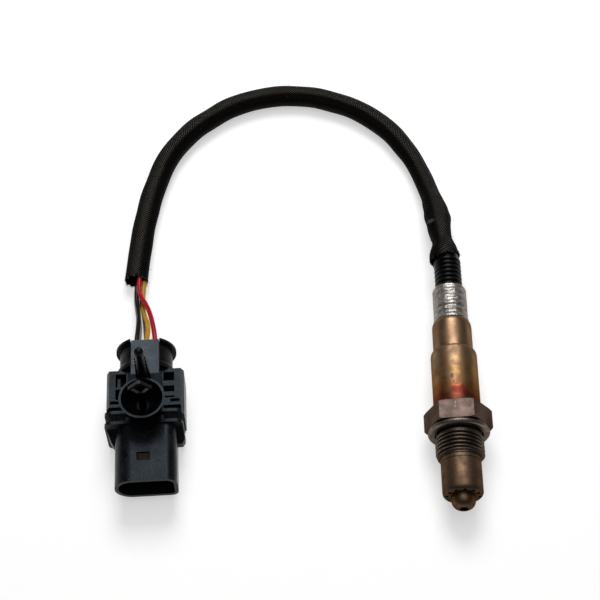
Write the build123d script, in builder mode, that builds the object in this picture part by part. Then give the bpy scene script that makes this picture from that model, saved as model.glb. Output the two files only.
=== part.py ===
from build123d import *
from math import cos, pi, radians, sin, tan
import os

os.makedirs("parts", exist_ok=True)

# Wide-band oxygen sensor with a sleeved lead and a clip-on plug. Millimetres.
# The origin is the centre of the seat under the hexagon. The sensor's axis is Y: the tip points
# to -Y and the lead leaves towards +Y. +Z is up, and the part lies on the plane z = floor_z.

# ---- shared clearances --------------------------------------------------------------------
slip = 0.05          # radial gap between round pieces that slide into each other
gap = 0.1            # gap between flat neighbours that don't bear on each other

# ---- threaded housing ---------------------------------------------------------------------
hex_flats = 22.0
hex_height = 7.5
hex_turn = 8.5       # how far the hexagon has rolled off its flat as the part lies, degrees
hex_face_diameter = 23.8
hex_chamfer_angle = 20.0
thread_diameter = 18.0
thread_end = 11.6    # from the seat to the end of the thread
relief_diameter = 16.2
relief_length = 2.6
thread_chamfer = 0.9
rim_diameter = 15.6
rim_length = 0.6     # plain rim in front of the thread, where the outer tube is welded
spigot_diameter = 13.8
spigot_length = 2.8
nose_bore = 10.0
body_bore = 13.2
bore_step_y = -8.0   # the shoulder in the bore that carries the ceramics
collar_length = 5.0  # spigot behind the hexagon that the rear shell is welded on

# ---- sealing washer, folded from sheet ----------------------------------------------------
washer_outer = 23.0
washer_sheet = 0.5
washer_height = 2.2

# ---- protection tubes over the element ----------------------------------------------------
outer_tube_diameter = 14.9
outer_tube_wall = 0.5
outer_tube_length = 14.5
outer_tube_round = 1.7
inner_tube_diameter = 8.8
inner_tube_wall = 0.4
tip_reach = 4.8      # how far the inner tube stands out of the outer one
tip_round = 3.1
tip_hole = 3.2
gas_hole_diameter = 1.3
gas_hole_count = 12
gas_ring_diameter = 11.8

# ---- element and ceramics -----------------------------------------------------------------
element_width = 4.2
element_thickness = 1.4
element_front = 27.0  # how far the element reaches in front of the seat
element_rear = 30.0   # and behind it
lower_ceramic_length = 6.8
talc_length = 5.4
upper_ceramic_length = 6.9
holder_front_y = 16.0
holder_rear_y = 32.0
contact_ring_diameter = 7.6
contact_diameter = 1.9
contact_length = 8.0

# ---- rear shells --------------------------------------------------------------------------
shell_wall = 0.8
lower_shell_shoulder_y = 29.4
lower_shell_end_y = 33.0
upper_shell_diameter = 15.2
upper_shell_wall = 0.7
shell_step = 1.225   # how far the lower shell stands out past the upper one
upper_shell_start_y = 29.6
upper_shell_taper_y = 43.4
upper_shell_end_y = 46.5

# ---- crimped collar, grommet and boot -----------------------------------------------------
crimp_diameter = 13.2
crimp_wall = 0.7
crimp_end_y = 62.0
crimp_round = 1.6
crimp_groove_depth = 0.35
crimp_groove_width = 0.9
crimp_groove_y = (49.6, 51.9)
crimp_bead_height = 0.2
grommet_step_y = 54.0
grommet_spigot_diameter = 9.8
boot_cuff_y = 54.2
boot_rib_diameter = 10.7
boot_root_diameter = 9.1
boot_bore = 7.8
boot_rib_pitch = 2.0
boot_rib_width = 1.68
boot_rib_count = 7
boot_end_y = 78.0

# ---- leads --------------------------------------------------------------------------------
sleeve_diameter = 9.4
wire_diameter = 1.9

# ---- plug: u runs across it, v from its mouth towards its rear, h up from its axis --------
plug_mouth = (-114.0, -23.3)
plug_yaw = 3.4
plug_axis_height = 11.75    # the plug lies on its two fins
rear_flange_diameter = 22.8
rear_flange_length = 1.0
shroud_width = 22.8
shroud_height = 13.4
shroud_wall = 1.35
shroud_round_side = 6.4     # the rounded side of the polarised section
shroud_square_top = 4.2     # its other side has smaller corners
shroud_square_bottom = 2.8
socket_depth = 15.0
key_rib = 1.0
key_offset = 6.2
key_start = 2.5             # how far behind the mouth the keying ribs begin
window_width = 4.86
window_length = 3.3
window_depth = 0.9
window_u = -0.56
window_v = 9.7
chip_thickness = 0.4
front_fin_v = 22.7
rear_fin_v = 27.0
fin_width = 28.8
fin_u = -0.5
fin_top = 7.6
fin_round = 2.6
fin_thickness = 1.2
core_width = 13.7
deck_top = 6.4              # flat top of the core and of the side rails
core_bottom = -9.4
wing_front_v = 18.0         # the wings run forward from the front fin
wing_corner_v = 19.4
left_wing_corner = 13.0     # how far out the wings reach at their corners and front ends
left_wing_front = 12.0
right_wing_corner = 14.2
right_wing_front = 13.2
wing_rear_top = 3.6
wing_front_top = -1.4
wing_bottom = -4.2
groove_v = (30.3, 28.2)     # groove between the side brackets and the rear fin
groove_bottom = 2.4
groove_wall = 1.1
bracket_end_v = 45.8
bracket_width = 28.8
bracket_shoulder = 4.2      # height where the outer walls start to lean in
bracket_bottom = -8.4
rail_inner_u = 10.9
rail_outer_u = 13.3
pocket_depth = 5.0
pocket_rear_v = 44.3
pocket_front_v = 33.4
right_bars = ((40.6, 38.5), (35.9, 34.2))   # crossbars between pockets, rear and front edge
left_bars = ((38.8, 37.8),)
left_rib_v = (42.2, 38.8)
left_rib_u = -9.6
left_rib_width = 1.0
slot_v = (32.9, 31.6)       # slot across each rail's front end
slot_inner_u = 9.3
slot_outer_u = 12.8
slot_depth = 1.6
arm_u = 0.25
arm_width = 10.5
arm_top = 9.0
arm_thickness = 1.3
arm_web_width = 7.6
arm_start_v = 24.0
cap_collar_diameter = 22.0
cap_collar_length = 1.6
cap_cone_length = 1.6
cap_neck_diameter = 19.9
cap_neck_length = 7.4
seal_diameter = 14.2
seal_recess = 1.4
seal_length = 6.4
cavity_pitch_u = 3.8
cavity_pitch_h = 5.2
cavity_size = 2.4
pin_width = 1.5
pin_thickness = 0.7
pin_reach = 9.6      # how far a pin stands into the socket
terminal_size = 2.2
terminal_front_v = 20.0
terminal_rear_v = 41.0
barrel_diameter = 2.1
lock_thickness = 1.5

# ---- push-in clip that rides on the plug's arm --------------------------------------------
clip_u = -0.22
clip_v = 28.0
carriage_front_v = 24.6
carriage_rear_v = 42.0
carriage_lip = 0.9
carriage_plate = 1.1
cup_rim_diameter = 16.75
cup_foot_diameter = 5.4
cup_height = 6.9
cup_wall = 0.8
anchor_height = 18.1        # from the carriage to the anchor's tip
anchor_low = 8.4            # where its spring legs leave the stem
anchor_corner = 13.9        # height of its widest corners
anchor_reach = 4.3
anchor_leg = 1.0
anchor_depth = 1.3
anchor_stem_width = 2.6
post_u = 0.0
post_v = 38.8
post_height = 22.7          # from the carriage to the top of its round head
post_head_radius = 1.95
post_neck_radius = 1.7
post_foot_radius = 2.1
post_fin_reach = 2.9
post_fin_thickness = 0.9
post_tooth = 0.45           # small steps down the sides of the post
post_tooth_pitch = 2.2
post_tooth_count = 3

# ---- values that follow from the ones above -----------------------------------------------
hex_corner = hex_flats / 2 / cos(radians(30))
# lowest corner of the rolled hexagon: this is what the sensor lies on
floor_z = -hex_corner * cos(radians(30 - hex_turn))
thread_end_y = -thread_end
rim_y = thread_end_y - rim_length
spigot_y = rim_y - spigot_length
outer_tube_end_y = rim_y - outer_tube_length
tip_y = outer_tube_end_y - tip_reach
collar_y = hex_height + collar_length
lower_shell_diameter = upper_shell_diameter + 2 * shell_step
lower_shell_bore = lower_shell_diameter - 2 * shell_wall
collar_diameter = lower_shell_bore - 2 * slip
upper_shell_bore = upper_shell_diameter - 2 * upper_shell_wall
holder_diameter = upper_shell_bore - 2 * gap
crimp_bore = crimp_diameter - 2 * crimp_wall
upper_shell_mouth = crimp_diameter - 2 * slip
lower_ceramic_y = bore_step_y + gap
talc_y = lower_ceramic_y + lower_ceramic_length
upper_ceramic_y = talc_y + talc_length
contact_rear_y = holder_rear_y + contact_length
washer_inner = relief_diameter + 2 * gap        # upper lip, captive behind the thread
washer_lower_inner = thread_diameter + 2 * gap  # lower lip, which slides over the thread

plug_z = floor_z + plug_axis_height
plug_centre = (plug_mouth[0], plug_mouth[1], plug_z)
across = (cos(radians(plug_yaw)), sin(radians(plug_yaw)), 0)
mouthward = (sin(radians(plug_yaw)), -cos(radians(plug_yaw)), 0)
rearward = (-mouthward[0], -mouthward[1], 0)
mouth_plane = Plane(origin=plug_centre, x_dir=across, z_dir=mouthward)  # sketches in (u, h)
deck_plane = Plane(origin=plug_centre, x_dir=across, z_dir=(0, 0, 1))   # sketches in (u, v)
side_plane = Plane(origin=plug_centre, x_dir=rearward, z_dir=across)    # sketches in (v, h)
flange_v = bracket_end_v + cap_collar_length + cap_cone_length + cap_neck_length
cap_end_v = flange_v + rear_flange_length
seal_end_v = cap_end_v - seal_recess
seal_start_v = seal_end_v - seal_length
barrel_end_v = seal_start_v - gap
arm_bottom = arm_top - arm_thickness
cavities = [(i * cavity_pitch_u, j * cavity_pitch_h / 2) for j in (1, -1) for i in (-1, 0, 1)]
wired = {"black": cavities[0], "yellow": cavities[1], "red": cavities[2],
         "white": cavities[3], "grey": cavities[4]}
blank = cavities[5]


def plug_point(u, v, h):
    """A point given in the plug's own directions, in the part's frame."""
    point = deck_plane.from_local_coords(Vector(u, v, h))
    return (point.X, point.Y, point.Z)


def save(piece, name):
    """Label a finished piece and write its STEP file."""
    piece.part.label = name
    export_step(piece.part, f"parts/{name}.step")


# ============================ threaded housing =============================================
chamfer_rise = (hex_corner - hex_face_diameter / 2) * tan(radians(hex_chamfer_angle))

with BuildPart() as hexagon_bar:
    with BuildSketch(Plane.XZ):
        RegularPolygon(hex_flats / 2, 6, major_radius=False, rotation=hex_turn)
    extrude(amount=-hex_height)
    with BuildSketch(Plane.XY):
        with BuildLine():
            Polyline((0, 0), (hex_face_diameter / 2, 0), (hex_corner, chamfer_rise),
                     (hex_corner, hex_height - chamfer_rise), (hex_face_diameter / 2, hex_height),
                     (0, hex_height), close=True)
        make_face()
    revolve(axis=Axis.Y, mode=Mode.INTERSECT)

with BuildPart() as housing:
    add(hexagon_bar.part)
    with BuildSketch(Plane.XY):
        with BuildLine():
            Polyline((0, 0), (relief_diameter / 2, 0), (relief_diameter / 2, -relief_length),
                     (thread_diameter / 2, -relief_length - thread_chamfer),
                     (thread_diameter / 2, thread_end_y + thread_chamfer),
                     (thread_diameter / 2 - thread_chamfer, thread_end_y),
                     (rim_diameter / 2, thread_end_y), (rim_diameter / 2, rim_y),
                     (spigot_diameter / 2, rim_y), (spigot_diameter / 2, spigot_y),
                     (0, spigot_y), close=True)
        make_face()
        with BuildLine():
            Polyline((0, hex_height), (collar_diameter / 2, hex_height),
                     (collar_diameter / 2, collar_y), (0, collar_y), close=True)
        make_face()
    revolve(axis=Axis.Y)
    with BuildSketch(Plane.XY):
        bore_shoulder = (body_bore - nose_bore) / 2
        with BuildLine():
            Polyline((0, spigot_y), (nose_bore / 2, spigot_y),
                     (nose_bore / 2, bore_step_y - bore_shoulder), (body_bore / 2, bore_step_y),
                     (body_bore / 2, collar_y), (0, collar_y), close=True)
        make_face()
    revolve(axis=Axis.Y, mode=Mode.SUBTRACT)
save(housing, "housing")

# Folded ring: two flat lips with a rounded outer fold, as a captive gasket is rolled.
with BuildPart() as sealing_washer:
    with BuildSketch(Plane.XY):
        fold_r = washer_height / 2
        mid_r = washer_outer / 2 - fold_r
        lip_y = washer_sheet - washer_height
        with BuildLine():
            Polyline((washer_inner / 2, 0), (mid_r, 0))
            ThreePointArc((mid_r, 0), (washer_outer / 2, -fold_r), (mid_r, -washer_height))
            Polyline((mid_r, -washer_height), (washer_lower_inner / 2, -washer_height),
                     (washer_lower_inner / 2, lip_y), (mid_r, lip_y))
            ThreePointArc((mid_r, lip_y), (washer_outer / 2 - washer_sheet, -fold_r),
                          (mid_r, -washer_sheet))
            Polyline((mid_r, -washer_sheet), (washer_inner / 2, -washer_sheet),
                     (washer_inner / 2, 0))
        make_face()
    revolve(axis=Axis.Y)
save(sealing_washer, "sealing_washer")

# ============================ protection tubes =============================================
with BuildPart() as outer_protection_tube:
    with BuildSketch(Plane.XZ.offset(-rim_y)):
        Circle(outer_tube_diameter / 2)
    extrude(amount=outer_tube_length)
    fillet(outer_protection_tube.edges().filter_by(GeomType.CIRCLE).sort_by(Axis.Y)[0],
           outer_tube_round)
    with BuildSketch(Plane.XY):
        wall_r = outer_tube_diameter / 2 - outer_tube_wall
        inside_y = outer_tube_end_y + outer_tube_wall
        with BuildLine():
            Polyline((0, rim_y), (wall_r, rim_y), (wall_r, inside_y + outer_tube_round),
                     (wall_r - outer_tube_round, inside_y), (0, inside_y), close=True)
        make_face()
    revolve(axis=Axis.Y, mode=Mode.SUBTRACT)
    with BuildSketch(Plane.XZ.offset(-outer_tube_end_y)):
        Circle(inner_tube_diameter / 2 + slip)
        with PolarLocations(gas_ring_diameter / 2, gas_hole_count):
            Circle(gas_hole_diameter / 2)
    extrude(amount=-2 * outer_tube_wall, mode=Mode.SUBTRACT)
save(outer_protection_tube, "outer_protection_tube")

with BuildPart() as inner_protection_tube:
    with BuildSketch(Plane.XY):
        tube_r = inner_tube_diameter / 2
        with BuildLine():
            Polyline((0, tip_y), (tube_r, tip_y), (tube_r, spigot_y - inner_tube_wall),
                     (spigot_diameter / 2 - gap, spigot_y - inner_tube_wall),
                     (spigot_diameter / 2 - gap, spigot_y), (0, spigot_y), close=True)
        make_face()
    revolve(axis=Axis.Y)
    fillet(inner_protection_tube.edges().filter_by(GeomType.CIRCLE).sort_by(Axis.Y)[0], tip_round)
    with BuildSketch(Plane.XY):
        bore_r = tube_r - inner_tube_wall
        floor_y = tip_y + inner_tube_wall
        with BuildLine():
            Line((0, spigot_y), (bore_r, spigot_y))
            Line((bore_r, spigot_y), (bore_r, floor_y + tip_round - inner_tube_wall))
            RadiusArc((bore_r, floor_y + tip_round - inner_tube_wall),
                      (bore_r - tip_round + inner_tube_wall, floor_y), tip_round - inner_tube_wall)
            Line((bore_r - tip_round + inner_tube_wall, floor_y), (0, floor_y))
            Line((0, floor_y), (0, spigot_y))
        make_face()
    revolve(axis=Axis.Y, mode=Mode.SUBTRACT)
    with BuildSketch(Plane.XZ.offset(-tip_y)):
        Circle(tip_hole / 2)
    extrude(amount=-2 * inner_tube_wall, mode=Mode.SUBTRACT)
save(inner_protection_tube, "inner_protection_tube")

# ============================ element and ceramics =========================================
with BuildPart() as sensor_element:
    with BuildSketch(Plane.XZ.offset(element_front)):
        Rectangle(element_width, element_thickness)
    extrude(amount=-(element_front + element_rear))
    chamfer(sensor_element.edges().filter_by(Axis.Y), element_thickness / 6)
save(sensor_element, "sensor_element")


def slotted_cylinder(diameter, start_y, length):
    """A ceramic cylinder on the axis, with a slot for the element."""
    with BuildPart() as cylinder:
        with BuildSketch(Plane.XZ.offset(-start_y)):
            Circle(diameter / 2)
            Rectangle(element_width + 2 * gap, element_thickness + 2 * gap, mode=Mode.SUBTRACT)
        extrude(amount=-length)
    return cylinder


ceramic_diameter = body_bore - 2 * slip
lower_ceramic = slotted_cylinder(ceramic_diameter, lower_ceramic_y, lower_ceramic_length)
save(lower_ceramic, "lower_ceramic")

talc_ring = slotted_cylinder(ceramic_diameter, talc_y, talc_length)
save(talc_ring, "talc_ring")

upper_ceramic = slotted_cylinder(ceramic_diameter, upper_ceramic_y, upper_ceramic_length)
save(upper_ceramic, "upper_ceramic")

contact_holder = slotted_cylinder(holder_diameter, holder_front_y, holder_rear_y - holder_front_y)
save(contact_holder, "contact_holder")

# ============================ rear shells ==================================================
with BuildPart() as lower_shell:
    with BuildSketch(Plane.XY):
        outer_r = lower_shell_diameter / 2
        neck_r = upper_shell_diameter / 2 + slip
        bend = lower_shell_end_y - lower_shell_shoulder_y
        with BuildLine():
            Line((lower_shell_bore / 2, hex_height), (outer_r, hex_height))
            Line((outer_r, hex_height), (outer_r, lower_shell_shoulder_y))
            Spline((outer_r, lower_shell_shoulder_y), (neck_r + shell_wall / 2, lower_shell_end_y),
                   tangents=((0, 1), (-1, 0.6)))
            Line((neck_r + shell_wall / 2, lower_shell_end_y), (neck_r, lower_shell_end_y))
            Polyline((neck_r, lower_shell_end_y), (neck_r, lower_shell_end_y - bend / 2),
                     (lower_shell_bore / 2, lower_shell_shoulder_y),
                     (lower_shell_bore / 2, hex_height))
        make_face()
    revolve(axis=Axis.Y)
save(lower_shell, "lower_shell")

with BuildPart() as upper_shell:
    with BuildSketch(Plane.XY):
        outer_r = upper_shell_diameter / 2
        mouth_r = upper_shell_mouth / 2
        with BuildLine():
            Polyline((outer_r - upper_shell_wall, upper_shell_start_y), (outer_r, upper_shell_start_y),
                     (outer_r, upper_shell_taper_y))
            Spline((outer_r, upper_shell_taper_y), (mouth_r, upper_shell_end_y),
                   tangents=((0, 1), (-1, 0.5)))
            Polyline((mouth_r, upper_shell_end_y), (mouth_r - upper_shell_wall, upper_shell_end_y),
                     (outer_r - upper_shell_wall, upper_shell_taper_y),
                     (outer_r - upper_shell_wall, upper_shell_start_y))
        make_face()
    revolve(axis=Axis.Y)
save(upper_shell, "upper_shell")

# ============================ contacts, grommet, crimp, boot ===============================
contact_spots = PolarLocations(contact_ring_diameter / 2, 5, start_angle=90).locations
for number, spot in enumerate(contact_spots, 1):
    with BuildPart() as contact:
        with BuildSketch(Plane.XZ.offset(-holder_rear_y)):
            with Locations(spot):
                Circle(contact_diameter / 2)
                Circle(contact_diameter / 4, mode=Mode.SUBTRACT)
        extrude(amount=-contact_length)
    save(contact, f"contact_barrel_{number}")

with BuildPart() as lead_grommet:
    with BuildSketch(Plane.XY):
        wide_r = upper_shell_bore / 2 - slip
        neck_r = upper_shell_mouth / 2 - upper_shell_wall - slip
        with BuildLine():
            Polyline((0, contact_rear_y), (wide_r, contact_rear_y),
                     (wide_r, upper_shell_taper_y - gap), (neck_r, upper_shell_end_y),
                     (neck_r, grommet_step_y), (grommet_spigot_diameter / 2, grommet_step_y),
                     (grommet_spigot_diameter / 2, crimp_end_y - crimp_round),
                     (0, crimp_end_y - crimp_round), close=True)
        make_face()
    revolve(axis=Axis.Y)
save(lead_grommet, "lead_grommet")

with BuildPart() as crimp_collar:
    with BuildSketch(Plane.XY):
        outer_r = crimp_diameter / 2
        bead_r = outer_r + crimp_bead_height
        with BuildLine():
            Polyline((crimp_bore / 2, upper_shell_end_y), (bead_r, upper_shell_end_y),
                     (bead_r, upper_shell_end_y + crimp_groove_width),
                     (outer_r, upper_shell_end_y + 2 * crimp_groove_width),
                     (outer_r, crimp_end_y - crimp_round))
            RadiusArc((outer_r, crimp_end_y - crimp_round),
                      (outer_r - crimp_wall, crimp_end_y), -crimp_round)
            Polyline((outer_r - crimp_wall, crimp_end_y), (crimp_bore / 2, crimp_end_y - gap),
                     (crimp_bore / 2, upper_shell_end_y))
        make_face()
    revolve(axis=Axis.Y)
    for groove_y in crimp_groove_y:
        with BuildSketch(Plane.XY):
            with BuildLine():
                Line((outer_r + gap, groove_y - crimp_groove_width / 2),
                     (outer_r + gap, groove_y + crimp_groove_width / 2))
                ThreePointArc((outer_r + gap, groove_y + crimp_groove_width / 2),
                              (outer_r - crimp_groove_depth, groove_y),
                              (outer_r + gap, groove_y - crimp_groove_width / 2))
            make_face()
        revolve(axis=Axis.Y, mode=Mode.SUBTRACT)
save(crimp_collar, "crimp_collar")

# Bellows: a plain cuff held under the collar, then ribs, then a plain end inside the sleeve.
with BuildPart() as corrugated_boot:
    with BuildSketch(Plane.XY):
        cuff_r = crimp_bore / 2 - slip
        root_r = boot_root_diameter / 2
        rib_r = boot_rib_diameter / 2
        first_rib_y = crimp_end_y + boot_rib_pitch / 2
        with BuildLine():
            Polyline((grommet_spigot_diameter / 2 + slip, boot_cuff_y), (cuff_r, boot_cuff_y),
                     (cuff_r, crimp_end_y - crimp_round), (root_r, crimp_end_y - gap),
                     (root_r, first_rib_y - boot_rib_pitch / 2))
            for rib in range(boot_rib_count):
                start = first_rib_y + (rib - 1 / 2) * boot_rib_pitch
                ThreePointArc((root_r, start), (rib_r, start + boot_rib_width / 2),
                              (root_r, start + boot_rib_width))
                Line((root_r, start + boot_rib_width), (root_r, start + boot_rib_pitch))
            ribs_end = first_rib_y + (boot_rib_count - 1 / 2) * boot_rib_pitch
            Polyline((root_r, ribs_end), (root_r, boot_end_y), (boot_bore / 2, boot_end_y),
                     (boot_bore / 2, crimp_end_y - gap),
                     (grommet_spigot_diameter / 2 + slip, crimp_end_y - crimp_round),
                     (grommet_spigot_diameter / 2 + slip, boot_cuff_y))
        make_face()
    revolve(axis=Axis.Y)
save(corrugated_boot, "corrugated_boot")


# ============================ sleeved lead =================================================
def lead(route, diameter):
    """A plain tube along straight runs joined by the largest tangent arcs that they allow."""
    points = [Vector(*p) for p in route]
    runs = [b - a for a, b in zip(points, points[1:])]
    turns = [a.get_angle(b) for a, b in zip(runs, runs[1:])]
    radii = [0.45 * min(a.length, b.length) / tan(radians(turn / 2))
             for a, b, turn in zip(runs, runs[1:], turns)]
    with BuildPart() as tube:
        with BuildLine() as path:
            FilletPolyline(*points, radius=radii)
        with BuildSketch(Plane(origin=points[0], z_dir=runs[0])):
            Circle(diameter / 2)
        sweep(path=path.wire())
    print(f"runs {[round(r.length, 1) for r in runs]} radii {[round(r, 1) for r in radii]}")
    length = path.wire().length
    section = pi * diameter ** 2 / 4
    print(f"length {length:.1f}, volume over section x length "
          f"{tube.part.volume / (section * length):.5f}")
    return tube


lead_z = floor_z + sleeve_diameter / 2 + slip
sleeve_route = [
    (0, boot_end_y, 0), (0, 90, 0), (-1.2, 103, -2.7), (-3.3, 116, -5.9),
    (-7.6, 129.5, lead_z), (-15.2, 143.8, lead_z), (-28, 158.3, lead_z), (-46.5, 167.8, lead_z),
    (-66, 170.4, lead_z), (-85.5, 165.5, lead_z), (-101.8, 153.5, lead_z),
    (-113.6, 138.5, lead_z), (-119.5, 120, lead_z), (-122.6, 101, lead_z),
    (-123.9, 84, lead_z), (-124.3, 71, lead_z),
]
braided_sleeve = lead(sleeve_route, sleeve_diameter)
save(braided_sleeve, "braided_sleeve")

# Each wire: its place in the sleeve's end (right, up), then two points on its way to the plug.
sleeve_end = Vector(*sleeve_route[-1])
sleeve_end_run = (sleeve_end - Vector(*sleeve_route[-2])).normalized()
sleeve_end_plane = Plane(origin=sleeve_end, x_dir=(-sleeve_end_run.Y, sleeve_end_run.X, 0),
                         z_dir=sleeve_end_run)
wire_ways = {
    "red": [(1.5, 2.4), (-118.6, 56.5, -2.4), (-115.6, 46.5, 1.0)],
    "yellow": [(3.2, 0.1), (-120.6, 55.5, -5.6), (-117.2, 46.0, -0.8)],
    "black": [(0.5, 0.4), (-122.3, 55.5, -5.0), (-121.2, 46.5, -0.4)],
    "white": [(0.2, -1.9), (-122.6, 55.0, -8.0), (-121.0, 46.5, -4.6)],
    "grey": [(2.3, -2.0), (-120.4, 56.0, -8.2), (-118.8, 46.5, -4.8)],
}
wire_stub = 7.0      # straight length out of the sleeve and into the plug
for colour, (place, *way) in wire_ways.items():
    u, h = wired[colour]
    start = sleeve_end_plane.from_local_coords(Vector(*place))
    leave = start + sleeve_end_run * wire_stub
    route = [start, leave, *way, plug_point(u, cap_end_v + wire_stub / 4, h),
             plug_point(u, barrel_end_v, h)]
    wire = lead(route, wire_diameter)
    save(wire, f"wire_{colour}")


# ============================ plug housing =================================================
def shroud_section(inset):
    """The shroud's section, set in by a wall: one side fully rounded, the other squarer."""
    outline = Rectangle(shroud_width - 2 * inset, shroud_height - 2 * inset)
    round_side = outline.vertices().group_by(Axis.X)[0]
    fillet(round_side, shroud_round_side - inset)
    square_side = vertices().group_by(Axis.X)[-1]
    fillet(square_side.sort_by(Axis.Y)[-1], shroud_square_top - inset)
    fillet(vertices().group_by(Axis.Y)[0].sort_by(Axis.X)[-1], shroud_square_bottom - inset)


# Wings that run forward from the front fin along the shroud, with tops that fall to the front.
with BuildPart() as wings:
    with BuildSketch(deck_plane.offset(wing_bottom)):
        root_u = (shroud_width - shroud_wall) / 2
        for side, corner_u, front_u in ((-1, left_wing_corner, left_wing_front),
                                        (1, right_wing_corner, right_wing_front)):
            with BuildLine():
                Polyline((side * root_u, front_fin_v),
                         (fin_u + side * (fin_width - fin_thickness) / 2, front_fin_v),
                         (side * corner_u, wing_corner_v), (side * front_u, wing_front_v),
                         (side * root_u, wing_front_v), close=True)
            make_face()
    extrude(amount=wing_rear_top - wing_bottom)
    with BuildSketch(side_plane):
        with BuildLine():
            Polyline((wing_front_v, wing_bottom), (front_fin_v, wing_bottom),
                     (front_fin_v, wing_rear_top), (wing_front_v, wing_front_top), close=True)
        make_face()
    extrude(amount=fin_width, both=True, mode=Mode.INTERSECT)

with BuildPart() as plug_housing:
    with BuildSketch(mouth_plane):
        shroud_section(0)
    extrude(amount=-(front_fin_v + fin_thickness))
    add(wings.part)
    # core behind the shroud, with two fins across it
    with BuildSketch(mouth_plane.offset(-front_fin_v)):
        with Locations((0, (deck_top + core_bottom) / 2)):
            Rectangle(core_width, deck_top - core_bottom)
    extrude(amount=-(bracket_end_v - front_fin_v))
    fin_bottom = -plug_axis_height
    for fin_v in (front_fin_v, rear_fin_v):
        with BuildSketch(mouth_plane.offset(-fin_v)):
            with Locations((fin_u, (fin_top + fin_bottom) / 2)):
                RectangleRounded(fin_width, fin_top - fin_bottom, fin_round)
        extrude(amount=-fin_thickness)
    # side brackets behind the rear fin, whose outer walls lean in at the top
    with BuildSketch(mouth_plane.offset(-rear_fin_v)):
        half_width = bracket_width / 2
        with BuildLine():
            Polyline((-half_width, bracket_bottom), (half_width, bracket_bottom),
                     (half_width, bracket_shoulder), (rail_outer_u, deck_top),
                     (-rail_outer_u, deck_top), (-half_width, bracket_shoulder), close=True)
        make_face()
    extrude(amount=-(bracket_end_v - rear_fin_v))
    # groove between the brackets and the rear fin, with a thin wall left on the right
    with BuildSketch(deck_plane.offset(deck_top)):
        groove_u = bracket_width / 2 - groove_wall
        for start_u, end_u in ((-bracket_width / 2, -core_width / 2), (core_width / 2, groove_u)):
            with Locations(((start_u + end_u) / 2, (groove_v[0] + groove_v[1]) / 2)):
                Rectangle(end_u - start_u, groove_v[0] - groove_v[1])
    extrude(amount=groove_bottom - deck_top, mode=Mode.SUBTRACT)
    # arm over the top that the clip rides on and that reaches back over the rear cap
    with BuildSketch(deck_plane.offset(deck_top)):
        with Locations((arm_u, (arm_start_v + bracket_end_v) / 2)):
            Rectangle(arm_web_width, bracket_end_v - arm_start_v)
    extrude(amount=arm_bottom - deck_top)
    with BuildSketch(deck_plane.offset(arm_bottom)):
        with Locations((arm_u, (arm_start_v + cap_end_v) / 2)):
            Rectangle(arm_width, cap_end_v - arm_start_v)
    extrude(amount=arm_thickness)
    # pockets beside the core, parted by crossbars
    with BuildSketch(deck_plane.offset(deck_top)):
        pocket_u = (core_width / 2 + rail_inner_u) / 2
        pocket_width = rail_inner_u - core_width / 2
        for side, bars in ((1, right_bars), (-1, left_bars)):
            with Locations((side * pocket_u, (pocket_rear_v + pocket_front_v) / 2)):
                Rectangle(pocket_width, pocket_rear_v - pocket_front_v)
            for bar_rear, bar_front in bars:
                with Locations((side * pocket_u, (bar_rear + bar_front) / 2)):
                    Rectangle(pocket_width, bar_rear - bar_front, mode=Mode.SUBTRACT)
        with Locations((left_rib_u, (left_rib_v[0] + left_rib_v[1]) / 2)):
            Rectangle(left_rib_width, left_rib_v[0] - left_rib_v[1], mode=Mode.SUBTRACT)
    extrude(amount=-pocket_depth, mode=Mode.SUBTRACT)
    with BuildSketch(deck_plane.offset(deck_top)):
        for side in (1, -1):
            with Locations((side * (slot_inner_u + slot_outer_u) / 2, (slot_v[0] + slot_v[1]) / 2)):
                Rectangle(slot_outer_u - slot_inner_u, slot_v[0] - slot_v[1])
    extrude(amount=-slot_depth, mode=Mode.SUBTRACT)
    # socket, with two keying ribs under its roof
    with BuildSketch(mouth_plane):
        shroud_section(shroud_wall)
    extrude(amount=-key_start, mode=Mode.SUBTRACT)
    with BuildSketch(mouth_plane.offset(-key_start)):
        shroud_section(shroud_wall)
        for side in (1, -1):
            with Locations((side * key_offset, shroud_height / 2 - shroud_wall)):
                Rectangle(key_rib, 2 * key_rib, mode=Mode.SUBTRACT)
    extrude(amount=key_start - socket_depth, mode=Mode.SUBTRACT)
    # six terminal cavities with narrow slots for the pins at their front
    with BuildSketch(mouth_plane.offset(-socket_depth)):
        with Locations(*cavities):
            Rectangle(pin_width + 2 * gap, pin_thickness + 2 * gap)
    extrude(amount=-(terminal_front_v - socket_depth), mode=Mode.SUBTRACT)
    with BuildSketch(mouth_plane.offset(-terminal_front_v)):
        with Locations(*cavities):
            Rectangle(cavity_size, cavity_size)
    extrude(amount=-(bracket_end_v - terminal_front_v), mode=Mode.SUBTRACT)
    # window over the trim resistor
    with BuildSketch(deck_plane.offset(shroud_height / 2)):
        with Locations((window_u, window_v)):
            Rectangle(window_width, window_length)
    extrude(amount=-window_depth, mode=Mode.SUBTRACT)
save(plug_housing, "plug_housing")

with BuildPart() as trim_resistor:
    with BuildSketch(deck_plane.offset(shroud_height / 2 - window_depth)):
        with Locations((window_u, window_v)):
            Rectangle(window_width - 2 * gap, window_length - 2 * gap)
    extrude(amount=chip_thickness)
save(trim_resistor, "trim_resistor")

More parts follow.
